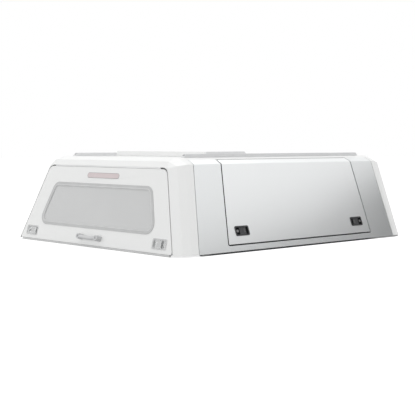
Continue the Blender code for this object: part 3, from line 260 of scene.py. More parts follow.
# Side panels
# Folded sheets round the side doors, coated in a satin silver with fine metal flake.
# A shallow open seam parts each from its corner posts.
def flake_coat(name, colour, roughness):
    """Satin silver coat: metal flake under the surface, a soft drift and orange peel."""
    material, shader, place = new_finish(name, roughness, 0.80, coat=0.2)
    shader.inputs["Coat Roughness"].default_value = 0.15
    drift = place.noise(1.3, 3.0)
    cells = {"Vector": place, "Scale": 1500.0}
    flake = place.node("TexVoronoi", {}, cells, "Distance")
    peel = place.noise(330.0, 2.0)
    rubbed = place.worn_edges(0.0015)
    tone = drift * 0.06 + flake * 0.07 - rubbed * 0.06 + 0.94
    feed(
        shader,
        Base_Color=tone.tint(colour),
        Roughness=drift * 0.08 - rubbed * 0.06 + (roughness - 0.04),
        Normal=(peel + flake * 0.3).bump(0.08, 0.0004),
    )
    return material


panel_coat = flake_coat("silver_panel_coat", colour=(0.812, 0.828, 0.831), roughness=0.36)
for side in ("right", "left"):
    dress(side + "_side_panel", panel_coat, "silver_paint", SHEET_EDGE)


# Side doors
# Each is a tray folded from one sheet, with two ribs inside and a top that wraps over the
# shoulder to the hinge. The coat is the panels' own, made paler as painted light: the
# brighter sheen that falls on the door.
lit_door_coat = flake_coat("silver_door_coat", colour=(0.862, 0.875, 0.878), roughness=0.36)
for side in ("right", "left"):
    dress(side + "_side_door", lit_door_coat, "silver_paint", SHEET_EDGE)


# Door gap linings
# Thin black rubber lines the rear and lower edges of each side door, and the edges of the
# opening that they face. It is painted shade: a dark sheet that darkens the gap's line.
GAP_SHADE_RUBBER = 0.0009  # its thickness
SHELL_HALF = 0.800  # half the width over the side faces at their foot
SIDE_LEAN = 0.385
FOOT_HEIGHT = 0.010
DOOR_FOOT = 0.0475
DOOR_REAR_FOOT = -0.5996
DOOR_REAR_LEAN = 0.234
DOOR_GAP = 0.0071  # between the door's edge and the panel's
DOOR_SHELL_DEPTH = 0.040  # of the folded edge, inwards from the side face
BARE_SKIN = 0.001  # of that depth, which stays clear of rubber
REAR_REACH = 0.003  # how far a face may lie off the rear edge and still belong to it
FOOT_REACH = 0.002  # and off the lower edge


def rubber(name, colour, roughness=0.8):
    """Moulded rubber: a fine grain, a chalky bloom and a little dust."""
    material, shader, place = new_finish(name, roughness)
    grain = place.noise(900.0, 2.0)
    bloom = place.noise(14.0, 4.0)
    feed(
        shader,
        Base_Color=(grain * 0.14 + bloom * 0.22 + 0.82).tint(colour),
        Roughness=bloom * 0.12 + (roughness - 0.06),
        Normal=grain.bump(0.25, 0.0005),
    )
    return material


def choose(piece, test):
    """Go into edit mode with only the faces selected whose middle and normal pass a test."""
    bpy.ops.object.mode_set(mode="EDIT")
    bpy.ops.mesh.select_mode(type="FACE")
    bpy.ops.mesh.select_all(action="DESELECT")
    bpy.ops.object.mode_set(mode="OBJECT")
    for face in piece.data.polygons:
        face.select = test(face.center, face.normal)
    bpy.ops.object.mode_set(mode="EDIT")


def keep_chosen():
    """Delete all faces but the chosen ones."""
    bpy.ops.mesh.select_all(action="INVERT")
    bpy.ops.mesh.delete(type="FACE")
    bpy.ops.object.mode_set(mode="OBJECT")


def thicken(piece, thickness):
    """Give a skin its thickness on its outer side."""
    pick(piece)
    wall = piece.modifiers.new("wall", "SOLIDIFY")
    wall.thickness = thickness
    wall.offset = 1.0
    bpy.ops.object.modifier_apply(modifier=wall.name)


def rear_or_lower_edge(gap):
    """A test for faces along the rear and lower edges of a side door, or a gap beyond."""

    def test(middle, normal):
        height = middle.z - FOOT_HEIGHT
        side_face = SHELL_HALF - SIDE_LEAN * height
        depth = (side_face - abs(middle.x)) / math.hypot(1.0, SIDE_LEAN)
        rear_line = DOOR_REAR_FOOT - gap + DOOR_REAR_LEAN * height
        rear = abs(middle.y - rear_line) < REAR_REACH
        foot = abs(middle.z - DOOR_FOOT + gap) < FOOT_REACH
        inside = BARE_SKIN < depth < DOOR_SHELL_DEPTH
        return (rear or foot) and abs(normal.x) < 0.5 and inside

    return test


# black gap lining: painted shade for the door gap
gap_shade_rubber = rubber("door_gap_shade_rubber", colour=(0.016, 0.016, 0.017), roughness=0.85)
for side in ("right", "left"):
    for node, gap in ((side + "_side_door", 0.0), (side + "_side_panel", DOOR_GAP)):
        piece = welded(node, node + "_gap_shade_rubber")
        choose(piece, rear_or_lower_edge(gap))
        keep_chosen()
        thicken(piece, GAP_SHADE_RUBBER)
        finish_edges(piece, edge=0.0002)
        settle(piece, gap_shade_rubber, "seal_rubber", nodes[node]["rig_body"])


# Rear door
# A folded tray round the window and the brake light, with turned-in edges that the seal
# closes on. It carries the white coat of the shell.
dress("rear_door", white_coat, "white_paint", SHEET_EDGE)


# Base frame and bed rubber
# An extruded frame runs inside the foot of the walls and takes the clamps. A strip of
# closed-cell rubber lies under the walls on the bed rails, dark under the side doors and
# bleached pale towards both ends.
def mill_metal(name, colour, roughness, stretch):
    """Drawn or rolled metal: fine lines along its length and a soft drift of polish."""
    material, shader, place = new_finish(name, roughness, 0.9)
    along = place.node("Mapping", {}, {"Vector": place, "Scale": stretch})
    lines = along.noise(60.0, 4.0)
    drift = place.noise(9.0)
    feed(
        shader,
        Base_Color=(lines * 0.16 + 0.90).tint(colour),
        Roughness=lines * 0.18 + drift * 0.10 + (roughness - 0.12),
        Normal=lines.bump(0.15, 0.0003),
    )
    return material


def bleach(material, pale, middle, half, run):
    """Let a colour turn pale along the object, from half a length each way of a middle."""
    shader = material.node_tree.nodes["Principled BSDF"]
    socket = shader.inputs["Base Color"]
    colour = Shade(material.node_tree, socket.links[0].from_socket)
    place = colour.node("TexCoord", {}, {}, "Object")
    along = colour.node("SeparateXYZ", {}, {0: place}, "Y")
    away = colour.node("Math", {"operation": "ABSOLUTE"}, {0: along - middle})
    feed(shader, Base_Color=((away - half) * (1.0 / run)).clamp().blend(colour, pale))


frame_metal = mill_metal(
    "extruded_frame_metal",
    colour=(0.52, 0.525, 0.53),
    roughness=0.42,
    stretch=(40.0, 1.0, 40.0),
)
dress("base_frame", frame_metal, "frame_aluminium", edge=0.0012)
bed_rubber = rubber("bed_strip_rubber", colour=(0.045, 0.045, 0.047))
bleach(bed_rubber, pale=(0.42, 0.42, 0.42), middle=-0.06, half=0.66, run=0.12)
dress("bed_seal", bed_rubber, "seal_rubber", edge=0.0015)


# Piano hinges
# Rolled knuckles on two plain leaves turn about one long pin. One leaf is riveted to the
# roof edge or header, the other to the top of the door. The rear door's has a pale coat.
hinge_metal = mill_metal(
    "rolled_hinge_metal",
    colour=(0.46, 0.465, 0.47),
    roughness=0.40,
    stretch=(40.0, 3.0, 40.0),
)
pale_metal = mill_metal(
    "coated_hinge_metal",
    colour=(0.76, 0.765, 0.765),
    roughness=0.50,
    stretch=(3.0, 40.0, 40.0),
)
for door, metal in (("right", hinge_metal), ("left", hinge_metal), ("rear", pale_metal)):
    for leaf in ("fixed_leaf", "door_leaf"):
        dress("%s_hinge_%s" % (door, leaf), metal, "frame_aluminium", edge=0.0003)


# Door seals
# Soft bulb rubber pressed onto the lips of the door openings, black at the sides and grey
# at the rear, and a flat grey strip under the rear door that closes against the tailgate.
bulb_rubber = rubber("bulb_seal_rubber", colour=(0.045, 0.045, 0.047), roughness=0.72)
grey_bulb = rubber("grey_bulb_rubber", colour=(0.50, 0.505, 0.505), roughness=0.72)
for door, soft in (("right", bulb_rubber), ("left", bulb_rubber), ("rear", grey_bulb)):
    dress(door + "_door_seal", soft, "seal_rubber", edge=0.0002)
strip_rubber = rubber("grey_strip_rubber", colour=(0.58, 0.585, 0.585), roughness=0.78)
dress("rear_door_bottom_seal", strip_rubber, "seal_rubber", edge=0.0020)


# Windows
# Tempered grey glass in a moulded rubber frame that is pressed into the wall, one in the
# rear door and one fixed in the front wall. A filler strip locks each frame on its glass,
# and a thin lip of the same rubber lies over the rim of the glass.
REAR_FOOT = -0.96354
FRONT_FOOT = 0.98846
REAR_LEAN = 0.256
WINDOW_LOW = 0.1001
WINDOW_TOP = 0.3701
WINDOW_HALF_LOW = 0.5690
WINDOW_HALF_TOP = 0.4683
LOW_CORNER_RUN = 0.0873
TOP_CORNER_RUN = 0.0399
CORNER_STEPS = 16
LEVEL_REACH = 0.001  # how near a height a point counts as on it


def window_glass(name, colour):
    """Pale tinted glass: smooth, with the faint bands of rolling in its tint."""
    material, shader, place = new_finish(name, 0.07)
    shader.inputs["IOR"].default_value = 1.5
    bands = place.noise(5.0, 2.0)
    haze = place.noise(120.0, 2.0)
    feed(
        shader,
        Base_Color=(bands * 0.06 + haze * 0.02 + 0.95).tint(colour),
        Roughness=haze * 0.05 + 0.05,
        Normal=bands.bump(0.04, 0.002),
    )
    return material


def wall_axes(origin, across, up):
    """A wall's own axes: across it, up it and out of it."""
    across = Vector(across).normalized()
    up = Vector(up).normalized()
    columns = Matrix((across, up, across.cross(up))).transposed().to_4x4()
    return Matrix.Translation(origin) @ columns


def choose_points(piece, test):
    """Go into edit mode with only the points selected that pass a test."""
    bpy.ops.object.mode_set(mode="EDIT")
    bpy.ops.mesh.select_mode(type="VERT")
    bpy.ops.mesh.select_all(action="DESELECT")
    bpy.ops.object.mode_set(mode="OBJECT")
    for point in piece.data.vertices:
        point.select = test(point.co)
    bpy.ops.object.mode_set(mode="EDIT")


def start_piece(name):
    """Name the new primitive and take its place, turn and size into its mesh."""
    piece = bpy.context.object
    piece.name = name
    bpy.ops.object.transform_apply(location=True, rotation=True, scale=True)
    return piece


def window_ring(name, outer, inner, low, high):
    """A closed ring between two insets of the window's outline and two heights over the
    wall, or a whole plate where the inner inset is None."""
    bpy.ops.mesh.primitive_plane_add(
        size=1.0, location=(0.0, (WINDOW_LOW + WINDOW_TOP) / 2, low)
    )
    bpy.context.object.scale = (2.0 * WINDOW_HALF_LOW, WINDOW_TOP - WINDOW_LOW, 1.0)
    piece = start_piece(name)
    choose_points(piece, lambda point: point.y > WINDOW_TOP - LEVEL_REACH)
    narrower = WINDOW_HALF_TOP / WINDOW_HALF_LOW
    bpy.ops.transform.resize(
        value=(narrower, 1.0, 1.0), center_override=(0.0, WINDOW_TOP, low)
    )
    bpy.ops.mesh.bevel(offset=TOP_CORNER_RUN, segments=CORNER_STEPS, affect="VERTICES")
    choose_points(piece, lambda point: point.y < WINDOW_LOW + LEVEL_REACH)
    bpy.ops.mesh.bevel(offset=LOW_CORNER_RUN, segments=CORNER_STEPS, affect="VERTICES")
    choose(piece, lambda middle, normal: True)
    if outer:
        bpy.ops.mesh.inset(thickness=outer)
        keep_chosen()
        choose(piece, lambda middle, normal: True)
    if inner:
        bpy.ops.mesh.inset(thickness=inner - outer)
        bpy.ops.mesh.delete(type="FACE")
    bpy.ops.object.mode_set(mode="OBJECT")
    thicken(piece, high - low)
    return piece


def join_to(piece, other):
    """Take another piece into this one."""
    pick(piece)
    other.select_set(True)
    bpy.ops.object.join()


rear_wall = wall_axes(
    (0.0, REAR_FOOT, FOOT_HEIGHT), across=(1.0, 0.0, 0.0), up=(0.0, REAR_LEAN, 1.0)
)
front_wall = wall_axes(
    (0.0, FRONT_FOOT, FOOT_HEIGHT), across=(-1.0, 0.0, 0.0), up=(0.0, 0.0, 1.0)
)
pale_glass = window_glass("grey_window_glass", colour=(0.58, 0.585, 0.585))
window_rubber = rubber("window_frame_rubber", colour=(0.51, 0.515, 0.515), roughness=0.62)
filler_rubber = rubber("filler_strip_rubber", colour=(0.60, 0.605, 0.605), roughness=0.5)
for end, wall, body in (
    ("rear", rear_wall, "rear_door_body"),
    ("front", front_wall, "shell"),
):
    seal = window_ring(
        end + "_window_seal_finished", outer=0.0, inner=0.0220, low=0.0003, high=0.0028
    )
    finish_edges(seal, edge=0.0011)
    plug = window_ring(
        end + "_window_plug", outer=0.0083, inner=0.0220, low=-0.0260, high=0.0012
    )
    finish_edges(plug, edge=0.0006)
    join_to(seal, plug)
    glass = window_ring(
        end + "_window_glass_finished", outer=0.0219, inner=None, low=-0.0070, high=-0.0020
    )
    finish_edges(glass, edge=0.0003)
    filler = window_ring(
        end + "_window_filler", outer=0.0150, inner=0.0205, low=0.0015, high=0.0038
    )
    finish_edges(filler, edge=0.0010)
    lip = window_ring(
        end + "_window_lip", outer=0.0210, inner=0.0254, low=-0.0021, high=0.0006
    )
    finish_edges(lip, edge=0.0008)
    join_to(filler, lip)
    for piece, material, slot in (
        (seal, window_rubber, "seal_rubber"),
        (glass, pale_glass, "window_glass"),
        (filler, filler_rubber, "seal_rubber"),
    ):
        piece.data.transform(wall)
        settle(piece, material, slot, body)
    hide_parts(end + "_window_seal")
    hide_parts(end + "_window_glass")


# Brake light
# A long moulded lens, let flush into the door above the window on a thin gasket. Fine
# ribs behind its face spread the light of the lamps.
RIB_WAVE = 900.0  # radians a metre, so a rib every 7 mm


def ribbed_lens(name, colour):
    """Clear coloured lens: even upright ribs that show through its face, a little cloudy."""
    material, shader, place = new_finish(name, 0.16, coat=0.6)
    across = place.node("SeparateXYZ", {}, {0: place}, "X")
    wave = place.node("Math", {"operation": "SINE"}, {0: across * RIB_WAVE})
    ribs = wave * 0.5 + 0.5
    cells = place.noise(40.0, 2.0)
    feed(
        shader,
        Base_Color=(ribs * 0.10 + cells * 0.12 + 0.88).tint(colour),
        Roughness=cells * 0.06 + 0.13,
        Normal=ribs.bump(0.30, 0.0006),
    )
    return material


def surround(node, name, wall, grow, width, low, high):
    """A closed strip round a flat piece, made from that piece's own rim, between two
    heights over the wall."""
    piece = welded(node, name)
    outward = wall.to_3x3() @ Vector((0.0, 0.0, 1.0))
    foot = wall.translation
    choose(piece, lambda middle, normal: abs(normal.dot(outward)) < 0.5)
    keep_chosen()
    heights = [(point.co - foot).dot(outward) for point in piece.data.vertices]
    middle_height = (min(heights) + max(heights)) / 2
    for front, level in ((True, high), (False, low)):
        reach = level - (max(heights) if front else min(heights))
        choose_points(
            piece, lambda point: ((point - foot).dot(outward) > middle_height) == front
        )
        bpy.ops.transform.translate(value=outward * reach)
        bpy.ops.object.mode_set(mode="OBJECT")
    bpy.ops.object.mode_set(mode="EDIT")
    bpy.ops.mesh.select_all(action="SELECT")
    bpy.ops.transform.shrink_fatten(value=grow)
    bpy.ops.object.mode_set(mode="OBJECT")
    thicken(piece, width)
    return piece


lens = ribbed_lens("pale_red_lens", colour=(0.62, 0.535, 0.54))
dress("brake_light", lens, "light_lens", edge=0.0014)
gasket = surround(
    "brake_light",
    "brake_light_gasket",
    rear_wall,
    grow=0.0002,
    width=0.0022,
    low=0.0,
    high=0.0012,
)
finish_edges(gasket, edge=0.0005)
settle(gasket, window_rubber, "seal_rubber", "rear_door_body")


# Grab handle
# A bowed bar of moulded grey plastic, swept from end to end, that is slimmer at its ends
# and runs into two round bosses, each held from the front by a socket screw.
HANDLE_HALF = 0.086  # from its middle to the middle of a boss
HANDLE_UP = 0.0475
HANDLE_STAND = 0.026
HANDLE_BOW = 0.004
BAR_HALF = 0.0760
BAR_RADIUS = 0.0115
BAR_END_RADIUS = 0.0085
BAR_SIDES = 28
BAR_STEPS = 16
BOSS_RADIUS = 0.0165
BOSS_TOP = 0.035
BOSS_RIM = 0.0016
BOSS_CROWN = 0.0008
BOSS_FACE = 0.0060
SOCKET_DEPTH = 0.003
SCREW_RADIUS = 0.0060
SCREW_HALF = 0.0030
SCREW_ROUND = 0.0010
KEY_RADIUS = 0.0030
KEY_FLOOR = 0.0008


def moulded_plastic(name, colour, roughness, wear=0.08, painted_shade=0.0):
    """Grained moulded plastic, polished and a little paler where hands rub its edges. Its
    corners and recesses get painted shade as they are occluded, or painted light where the
    shade weight is below 0."""
    material, shader, place = new_finish(name, roughness)
    cells = {"Vector": place, "Scale": 1100.0}
    grain = place.node("TexVoronoi", {}, cells, "Distance")
    drift = place.noise(25.0, 3.0)
    rubbed = place.worn_edges(0.0012)
    sky = place.node("AmbientOcclusion", {"samples": 4}, {"Distance": 0.02}, "AO")
    # painted shade in occluded corners and recesses; a weight below 0 paints light there
    # instead
    painted_recess_shade = (1.0 - sky) * painted_shade
    feed(
        shader,
        Base_Color=(grain * 0.12 + drift * 0.12 + rubbed * wear + 0.88 - painted_recess_shade).tint(colour),
        Roughness=grain * 0.14 + drift * 0.08 - rubbed * 0.12 + (roughness - 0.08),
        Normal=grain.bump(0.18, 0.0004),
    )
    return material


def add_cylinder(name, sides, radius, low, high):
    """An upright cylinder between two heights."""
    bpy.ops.mesh.primitive_cylinder_add(
        vertices=sides,
        radius=radius,
        depth=high - low,
        location=(0.0, 0.0, (low + high) / 2),
    )
    return start_piece(name)


def carve(piece, cutter):
    """Cut one shape out of a piece and throw the cutter away."""
    pick(piece)
    cut = piece.modifiers.new("cut", "BOOLEAN")
    cut.operation = "DIFFERENCE"
    cut.object = cutter
    bpy.ops.object.modifier_apply(modifier=cut.name)
    bpy.data.objects.remove(cutter)


def copy_to(pattern, name, place, material, slot, body):
    """A copy of a finished pattern, with a mesh of its own, set at a place."""
    piece = bpy.data.objects.new(name, pattern.data.copy())
    bpy.context.scene.collection.objects.link(piece)
    piece.data.transform(place)
    settle(piece, material, slot, body)
    return piece


def upper_faces(middle, normal):
    """A test for faces that look up."""
    return normal.z > 0.9


def bar_station(share):
    """The middle and the radius of the bar, from -1 at one end to 1 at the other."""
    bow = HANDLE_BOW * (1.0 - (share * BAR_HALF / HANDLE_HALF) ** 2)
    radius = BAR_RADIUS - (BAR_RADIUS - BAR_END_RADIUS) * share**6
    return Vector((BAR_HALF * share, HANDLE_UP - bow, HANDLE_STAND)), radius


grey_plastic = moulded_plastic(
    "grey_moulded_plastic", colour=(0.58, 0.585, 0.59), roughness=0.5
)
middle, radius = bar_station(-1.0)
bpy.ops.mesh.primitive_circle_add(
    vertices=BAR_SIDES,
    radius=radius,
    fill_type="NGON",
    location=middle,
    rotation=(0.0, math.radians(90.0), 0.0),
)
bar = start_piece("grab_handle_bar")
bpy.ops.object.mode_set(mode="EDIT")
for step in range(1, BAR_STEPS + 1):
    ahead, ahead_radius = bar_station(2.0 * step / BAR_STEPS - 1.0)
    bpy.ops.mesh.extrude_region_move(TRANSFORM_OT_translate={"value": ahead - middle})
    growth = ahead_radius / radius
    bpy.ops.transform.resize(value=(1.0, growth, growth), center_override=ahead)
    middle, radius = ahead, ahead_radius
bpy.ops.mesh.select_all(action="SELECT")
bpy.ops.mesh.normals_make_consistent(inside=False)
bpy.ops.object.mode_set(mode="OBJECT")
bar.data.transform(rear_wall)
finish_edges(bar, edge=0.0008)
settle(bar, grey_plastic, "grey_plastic", "rear_door_body")
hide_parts("grab_handle")

boss = add_cylinder("handle_boss", 40, BOSS_RADIUS, low=0.0003, high=BOSS_TOP)
choose(boss, upper_faces)
bpy.ops.mesh.inset(thickness=BOSS_RIM)
bpy.ops.transform.translate(value=(0.0, 0.0, BOSS_CROWN))
bpy.ops.mesh.inset(thickness=BOSS_FACE)
sunk = {"value": (0.0, 0.0, -SOCKET_DEPTH)}
bpy.ops.mesh.extrude_region_move(TRANSFORM_OT_translate=sunk)
bpy.ops.object.mode_set(mode="OBJECT")
finish_edges(boss, edge=0.0009)

screw = add_cylinder("socket_screw", 24, SCREW_RADIUS, low=-SCREW_HALF, high=SCREW_HALF)
choose(screw, upper_faces)
bpy.ops.mesh.bevel(offset=SCREW_ROUND, segments=3)
bpy.ops.object.mode_set(mode="OBJECT")
key = add_cylinder("hexagon_key", 6, KEY_RADIUS, low=KEY_FLOOR, high=2.0 * SCREW_HALF)
carve(screw, key)
finish_edges(screw, edge=0.0002)
screw_metal = mill_metal(
    "plated_screw_metal",
    colour=(0.50, 0.505, 0.51),
    roughness=0.36,
    stretch=(30.0, 30.0, 1.0),
)
for side, across in (("left", -HANDLE_HALF), ("right", HANDLE_HALF)):
    foot = rear_wall @ Matrix.Translation((across, HANDLE_UP, 0.0))
    name = "grab_handle_%s_" % side
    copy_to(boss, name + "boss", foot, grey_plastic, "grey_plastic", "rear_door_body")
    head = foot @ Matrix.Translation((0.0, 0.0, BOSS_TOP - SOCKET_DEPTH))
    copy_to(screw, name + "screw", head, screw_metal, "frame_aluminium", "rear_door_body")
bpy.data.objects.remove(boss)


# Paddle latches
# Moulded pans let into the doors, each with a sprung paddle, dished and ribbed for the
# fingers, and a keyed lock barrel. Those of the side doors are black, the others grey.
# The patterns are made in a latch's own axes, with the pivot along y at their origin.
LATCH_SINK = 0.003
LOCK_RADIUS = 0.0078
LOCK_RIM = 0.0014
LOCK_RING = 0.0008
LOCK_ROUND = 0.0004
LOCK_BELOW = 0.0010  # how far its barrel reaches under the floor of the pan
LOCK_PROUD = 0.0014  # and over it
LOCK_WELL = 0.0007  # from the rim down to the ring, which slopes up to the core
LOCK_CORE = 0.0005
LOCK_BACK_SIDE = 0.018  # from the pivot back to the lock, on the side doors
LOCK_BACK_REAR = 0.030  # and on the rear door
KEY_SLOT_LENGTH = 0.0065
KEY_SLOT_WIDTH = 0.0014
KEY_SLOT_MIDDLE = 0.0010  # over the floor of the pan
KEY_SLOT_DEPTH = 0.0020
PADDLE_TAIL = -0.003
PADDLE_TIP = 0.047
PADDLE_FACE = 0.004
PADDLE_CORNER = 0.0022
PADDLE_BORDER = 0.0030
PADDLE_SLOPE = 0.0010
PADDLE_DISH = 0.0012
PADDLE_PIVOT_RADIUS = 0.003
PADDLE_PIVOT_PLAY = 0.001  # by which the barrel is shorter than the blade is wide
SIDE_PADDLE_HALF = 0.0198
REAR_PADDLE_HALF = 0.0208
GRIP_COUNT = 4
GRIP_START = 0.0310
GRIP_STEP = 0.0036
GRIP_WIDTH = 0.0018
GRIP_HALF = 0.0115
GRIP_PROUD = 0.0004
# black latch plastic: painted shade darkens its occluded recesses
black_plastic = moulded_plastic(
    "black_moulded_plastic", colour=(0.046, 0.047, 0.049), roughness=0.42, wear=1.2, painted_shade=1.1
)
grip_plastic = moulded_plastic(
    "grey_grip_plastic", colour=(0.15, 0.15, 0.152), roughness=0.5, wear=0.3
)
# pale latch plastic: painted light pales its occluded recesses against their shade
pale_plastic = moulded_plastic(
    "pale_moulded_plastic", colour=(0.555, 0.56, 0.56), roughness=0.55, wear=0.03, painted_shade=-1.0
)
lock_metal = mill_metal(
    "plated_lock_metal",
    colour=(0.34, 0.34, 0.345),
    roughness=0.36,
    stretch=(20.0, 20.0, 1.0),
)


def latch_place(name):
    """A latch's own axes at its pivot: along the paddle, across it and out of the door."""
    pivot = next(row for row in frame["joints"] if row["name"] == name + "_pivot")
    across = -Vector(pivot["axis"]).normalized()
    outward = Vector((math.copysign(1.0, pivot["pos_m"][0]), 0.0, 0.0))
    if name.startswith("rear"):
        outward = Vector((0.0, -1.0, 0.0))
    outward = (outward - across * outward.dot(across)).normalized()
    columns = Matrix((across.cross(outward), across, outward)).transposed().to_4x4()
    return Matrix.Translation(pivot["pos_m"]) @ columns


def choose_edges(piece, test):
    """Go into edit mode with only the edges selected whose two ends pass a test."""
    bpy.ops.object.mode_set(mode="EDIT")
    bpy.ops.mesh.select_mode(type="EDGE")
    bpy.ops.mesh.select_all(action="DESELECT")
    bpy.ops.object.mode_set(mode="OBJECT")
    points = piece.data.vertices
    for edge in piece.data.edges:
        edge.select = test(*[points[end].co for end in edge.vertices])
    bpy.ops.object.mode_set(mode="EDIT")


def paddle(name, half_width):
    """A paddle in its pivot's axes: a dished blade with round corners on a pivot barrel."""
    bpy.ops.mesh.primitive_cube_add(
        size=1.0,
        location=((PADDLE_TAIL + PADDLE_TIP) / 2, 0.0, PADDLE_FACE / 2),
        scale=(PADDLE_TIP - PADDLE_TAIL, 2.0 * half_width, PADDLE_FACE),
    )
    blade = start_piece(name)
    choose(blade, upper_faces)
    bpy.ops.mesh.inset(thickness=PADDLE_BORDER)
    bpy.ops.mesh.inset(thickness=PADDLE_SLOPE)
    bpy.ops.transform.translate(value=(0.0, 0.0, -PADDLE_DISH))
    choose_edges(blade, lambda one, other: abs(one.z - other.z) > PADDLE_FACE / 2)
    bpy.ops.mesh.bevel(offset=PADDLE_CORNER, segments=4)
    bpy.ops.object.mode_set(mode="OBJECT")
    finish_edges(blade, edge=0.0005)
    bpy.ops.mesh.primitive_cylinder_add(
        vertices=20,
        radius=PADDLE_PIVOT_RADIUS,
        depth=2.0 * half_width - PADDLE_PIVOT_PLAY,
        rotation=(math.radians(90.0), 0.0, 0.0),
    )
    barrel = start_piece("pivot_barrel")
    finish_edges(barrel, edge=0.0004)
    join_to(blade, barrel)
    return blade


lock = add_cylinder(
    "keyed_lock",
    36,
    LOCK_RADIUS,
    low=LATCH_SINK - LOCK_BELOW,
    high=LATCH_SINK + LOCK_PROUD,
)
choose(lock, upper_faces)
bpy.ops.mesh.bevel(offset=LOCK_ROUND, segments=2)
choose(lock, lambda middle, normal: normal.z > 0.99)
bpy.ops.mesh.inset(thickness=LOCK_RIM)
sunk = {"value": (0.0, 0.0, -LOCK_WELL)}
bpy.ops.mesh.extrude_region_move(TRANSFORM_OT_translate=sunk)
bpy.ops.mesh.inset(thickness=LOCK_RING)
bpy.ops.transform.translate(value=(0.0, 0.0, LOCK_CORE))
bpy.ops.object.mode_set(mode="OBJECT")
bpy.ops.mesh.primitive_cube_add(
    size=1.0,
    location=(0.0, 0.0, LATCH_SINK + KEY_SLOT_MIDDLE),
    scale=(KEY_SLOT_LENGTH, KEY_SLOT_WIDTH, KEY_SLOT_DEPTH),
)
carve(lock, start_piece("key_slot"))
finish_edges(lock, edge=0.00015)

bpy.ops.mesh.primitive_cube_add(
    size=1.0,
    location=(GRIP_START, 0.0, PADDLE_FACE - PADDLE_DISH / 2),
    scale=(GRIP_WIDTH, 2.0 * GRIP_HALF, PADDLE_DISH + GRIP_PROUD),
)
grips = start_piece("paddle_grips")
row = grips.modifiers.new("row", "ARRAY")
row.count = GRIP_COUNT
row.use_relative_offset = False
row.use_constant_offset = True
row.constant_offset_displace = (GRIP_STEP, 0.0, 0.0)
bpy.ops.object.modifier_apply(modifier=row.name)
finish_edges(grips, edge=0.0006)

side_paddle = paddle("side_paddle", SIDE_PADDLE_HALF)
rear_paddle = paddle("rear_paddle", REAR_PADDLE_HALF)


def fit_latch(name, pattern, lock_back, plastic, slot, grip_finish, lock_finish):
    """Dress one latch's pan, and set its paddle, grips and lock in it."""
    paddle_body = name + "_paddle_body"
    door_body = nodes[name + "_pan"]["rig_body"]
    place = latch_place(name)
    dress(name + "_pan", plastic, slot, edge=0.0006)
    blade = copy_to(pattern, name + "_paddle_finished", place, plastic, slot, paddle_body)
    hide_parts(name + "_paddle")
    copy_to(grips, name + "_grips", place, grip_finish, slot, paddle_body)
    seat = place @ Matrix.Translation((-lock_back, 0.0, 0.0))
    copy_to(lock, name + "_lock", seat, lock_finish, "frame_aluminium", door_body)


for name in ("right_rear_latch", "right_front_latch", "left_rear_latch", "left_front_latch"):
    fit_latch(
        name,
        side_paddle,
        LOCK_BACK_SIDE,
        plastic=black_plastic,
        slot="black_plastic",
        grip_finish=grip_plastic,
        lock_finish=lock_metal,
    )
for name in ("rear_left_latch", "rear_right_latch"):
    fit_latch(
        name,
        rear_paddle,
        LOCK_BACK_REAR,
        plastic=pale_plastic,
        slot="grey_plastic",
        grip_finish=pale_plastic,
        lock_finish=pale_plastic,
    )
for pattern in (lock, grips, side_paddle, rear_paddle):
    bpy.data.objects.remove(pattern)


# Roof rails
# Extruded tracks along both edges of the roof, with a slot for the bolts of a rack. Five
# button screws in the floor of its channel hold each down.
RAIL_HALF_GAUGE = 0.519
RAIL_FLOOR = 0.5338
RAIL_SCREWS = (-0.62, -0.28, 0.066, 0.41, 0.75)  # their places along the roof
rail_finish = moulded_plastic("grey_rail_coat", colour=(0.68, 0.685, 0.69), roughness=0.42)
for side, across in (("right", RAIL_HALF_GAUGE), ("left", -RAIL_HALF_GAUGE)):
    dress(side + "_roof_rail", rail_finish, "grey_plastic", edge=0.0008)
    for number, along in enumerate(RAIL_SCREWS, 1):
        place = Matrix.Translation((across, along, RAIL_FLOOR))
        name = "%s_rail_screw_%d" % (side, number)
        copy_to(screw, name, place, screw_metal, "frame_aluminium", "shell")
bpy.data.objects.remove(screw)


# Raised roof plate
# A shallow pressed tray with sloped sides, bonded on the roof across the space between
# the rails. It carries the roof's white coat.
dress("raised_roof_plate", white_coat, "white_paint", edge=0.0015)


# Floor and studio
# A pale floor that runs out to white, a broad light overhead and softer ones to the rear
# and the sides. Two dark cards a side, one low and one at the front corner, show in the
# sheen of the silver coat only and shade it.
FLOOR_SIZE = 60.0
AMBIENT = 0.68  # of the white world, in diffuse light; it is 1 where it is seen
bpy.ops.mesh.primitive_plane_add(size=FLOOR_SIZE)
floor = start_piece("studio_floor")
material, shader, place = new_finish("pale_floor", 0.9)
shader.inputs["Specular IOR Level"].default_value = 0.0
shader.inputs["Emission Strength"].default_value = 0.80
seen = place.node("LightPath", {}, {}, "Is Camera Ray")
feed(
    shader,
    Base_Color=seen.blend((0.60, 0.60, 0.60), (0.40, 0.40, 0.40)),
    Emission_Color=seen.blend((0.0, 0.0, 0.0), (1.0, 1.0, 1.0)),
)
floor.data.materials.append(material)

world = bpy.data.worlds.new("studio")
bpy.context.scene.world = world
world.use_nodes = True
tree = world.node_tree
rays = tree.nodes.new("ShaderNodeLightPath")
direct = Shade(tree, rays.outputs["Is Camera Ray"])
direct += Shade(tree, rays.outputs["Is Glossy Ray"])
direct += Shade(tree, rays.outputs["Is Transmission Ray"])
background = tree.nodes["Background"]
background.inputs["Color"].default_value = (1.0, 1.0, 1.0, 1.0)
strength = direct.clamp() * (1.0 - AMBIENT) + AMBIENT
tree.links.new(strength.socket, background.inputs["Strength"])


def turned_to(thing, place, target):
    """Stand a light or card at a place, with its face to a target."""
    thing.location = place
    away = Vector(place) - Vector(target)
    thing.rotation_euler = away.to_track_quat("Z", "Y").to_euler()


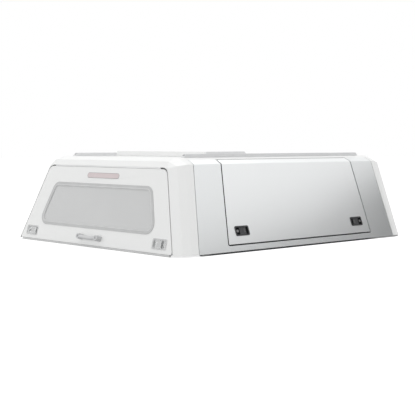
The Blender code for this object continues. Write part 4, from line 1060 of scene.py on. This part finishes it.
def soft_light(name, place, target, width, height, power):
    """A soft box at a place, turned to a target."""
    light = bpy.data.lights.new(name, "AREA")
    light.shape = "RECTANGLE"
    light.size = width
    light.size_y = height
    light.energy = power
    holder = bpy.data.objects.new(name, light)
    bpy.context.scene.collection.objects.link(holder)
    turned_to(holder, place, target)
    return holder


card_paint, shader, place = new_finish("card_black", 0.9)
shader.inputs["Base Color"].default_value = (0.02, 0.02, 0.02, 1.0)


def dark_card(name, place, target, width, height):
    """A dull dark card that shows in reflections only."""
    bpy.ops.mesh.primitive_plane_add(size=1.0)
    card = bpy.context.object
    card.name = name
    card.scale = (width, height, 1.0)
    turned_to(card, place, target)
    card.data.materials.append(card_paint)
    card.visible_camera = False
    card.visible_diffuse = False
    card.visible_transmission = False
    card.visible_shadow = False


soft_light(
    "overhead",
    place=(0.0, 0.0, 3.6),
    target=(0.0, 0.0, 0.3),
    width=4.0,
    height=4.0,
    power=54.0,
)
soft_light(
    "rear_fill",
    place=(-0.6, -5.0, 1.0),
    target=(0.0, -0.9, 0.1),
    width=3.0,
    height=2.0,
    power=52.0,
)
for side, name in ((1.0, "right"), (-1.0, "left")):
    fill = soft_light(
        name + "_fill",
        place=(side * 4.5, 0.4, 2.2),
        target=(side * 0.7, 0.0, 0.3),
        width=2.4,
        height=2.4,
        power=40.0,
    )
    fill.visible_glossy = False
    dark_card(
        name + "_front_card",
        place=(side * 1.60, 2.30, 0.56),
        target=(side * 0.75, 0.8, 0.1),
        width=1.0,
        height=1.0,
    )
    dark_card(
        name + "_low_card",
        place=(side * 2.6, 0.50, 0.43),
        target=(side * 0.75, -0.3, 0.1),
        width=2.8,
        height=1.0,
    )


# Camera
# It stands off the right rear corner, a little above the roof, with a long lens that keeps
# the photograph's flat perspective.
CAMERA_PLACE = (4.7208, -4.3948, 0.6069)
CAMERA_TURN = 47.2175
CAMERA_DIP = 3.6914
CAMERA_LENS = 86.75
camera_data = bpy.data.cameras.new("camera")
camera_data.lens = CAMERA_LENS
camera_data.sensor_width = 36.0
camera = bpy.data.objects.new("camera", camera_data)
bpy.context.scene.collection.objects.link(camera)
camera.location = CAMERA_PLACE
camera.rotation_euler = (math.radians(90.0 - CAMERA_DIP), 0.0, math.radians(CAMERA_TURN))
bpy.context.scene.camera = camera
bpy.context.scene.view_settings.view_transform = "Standard"
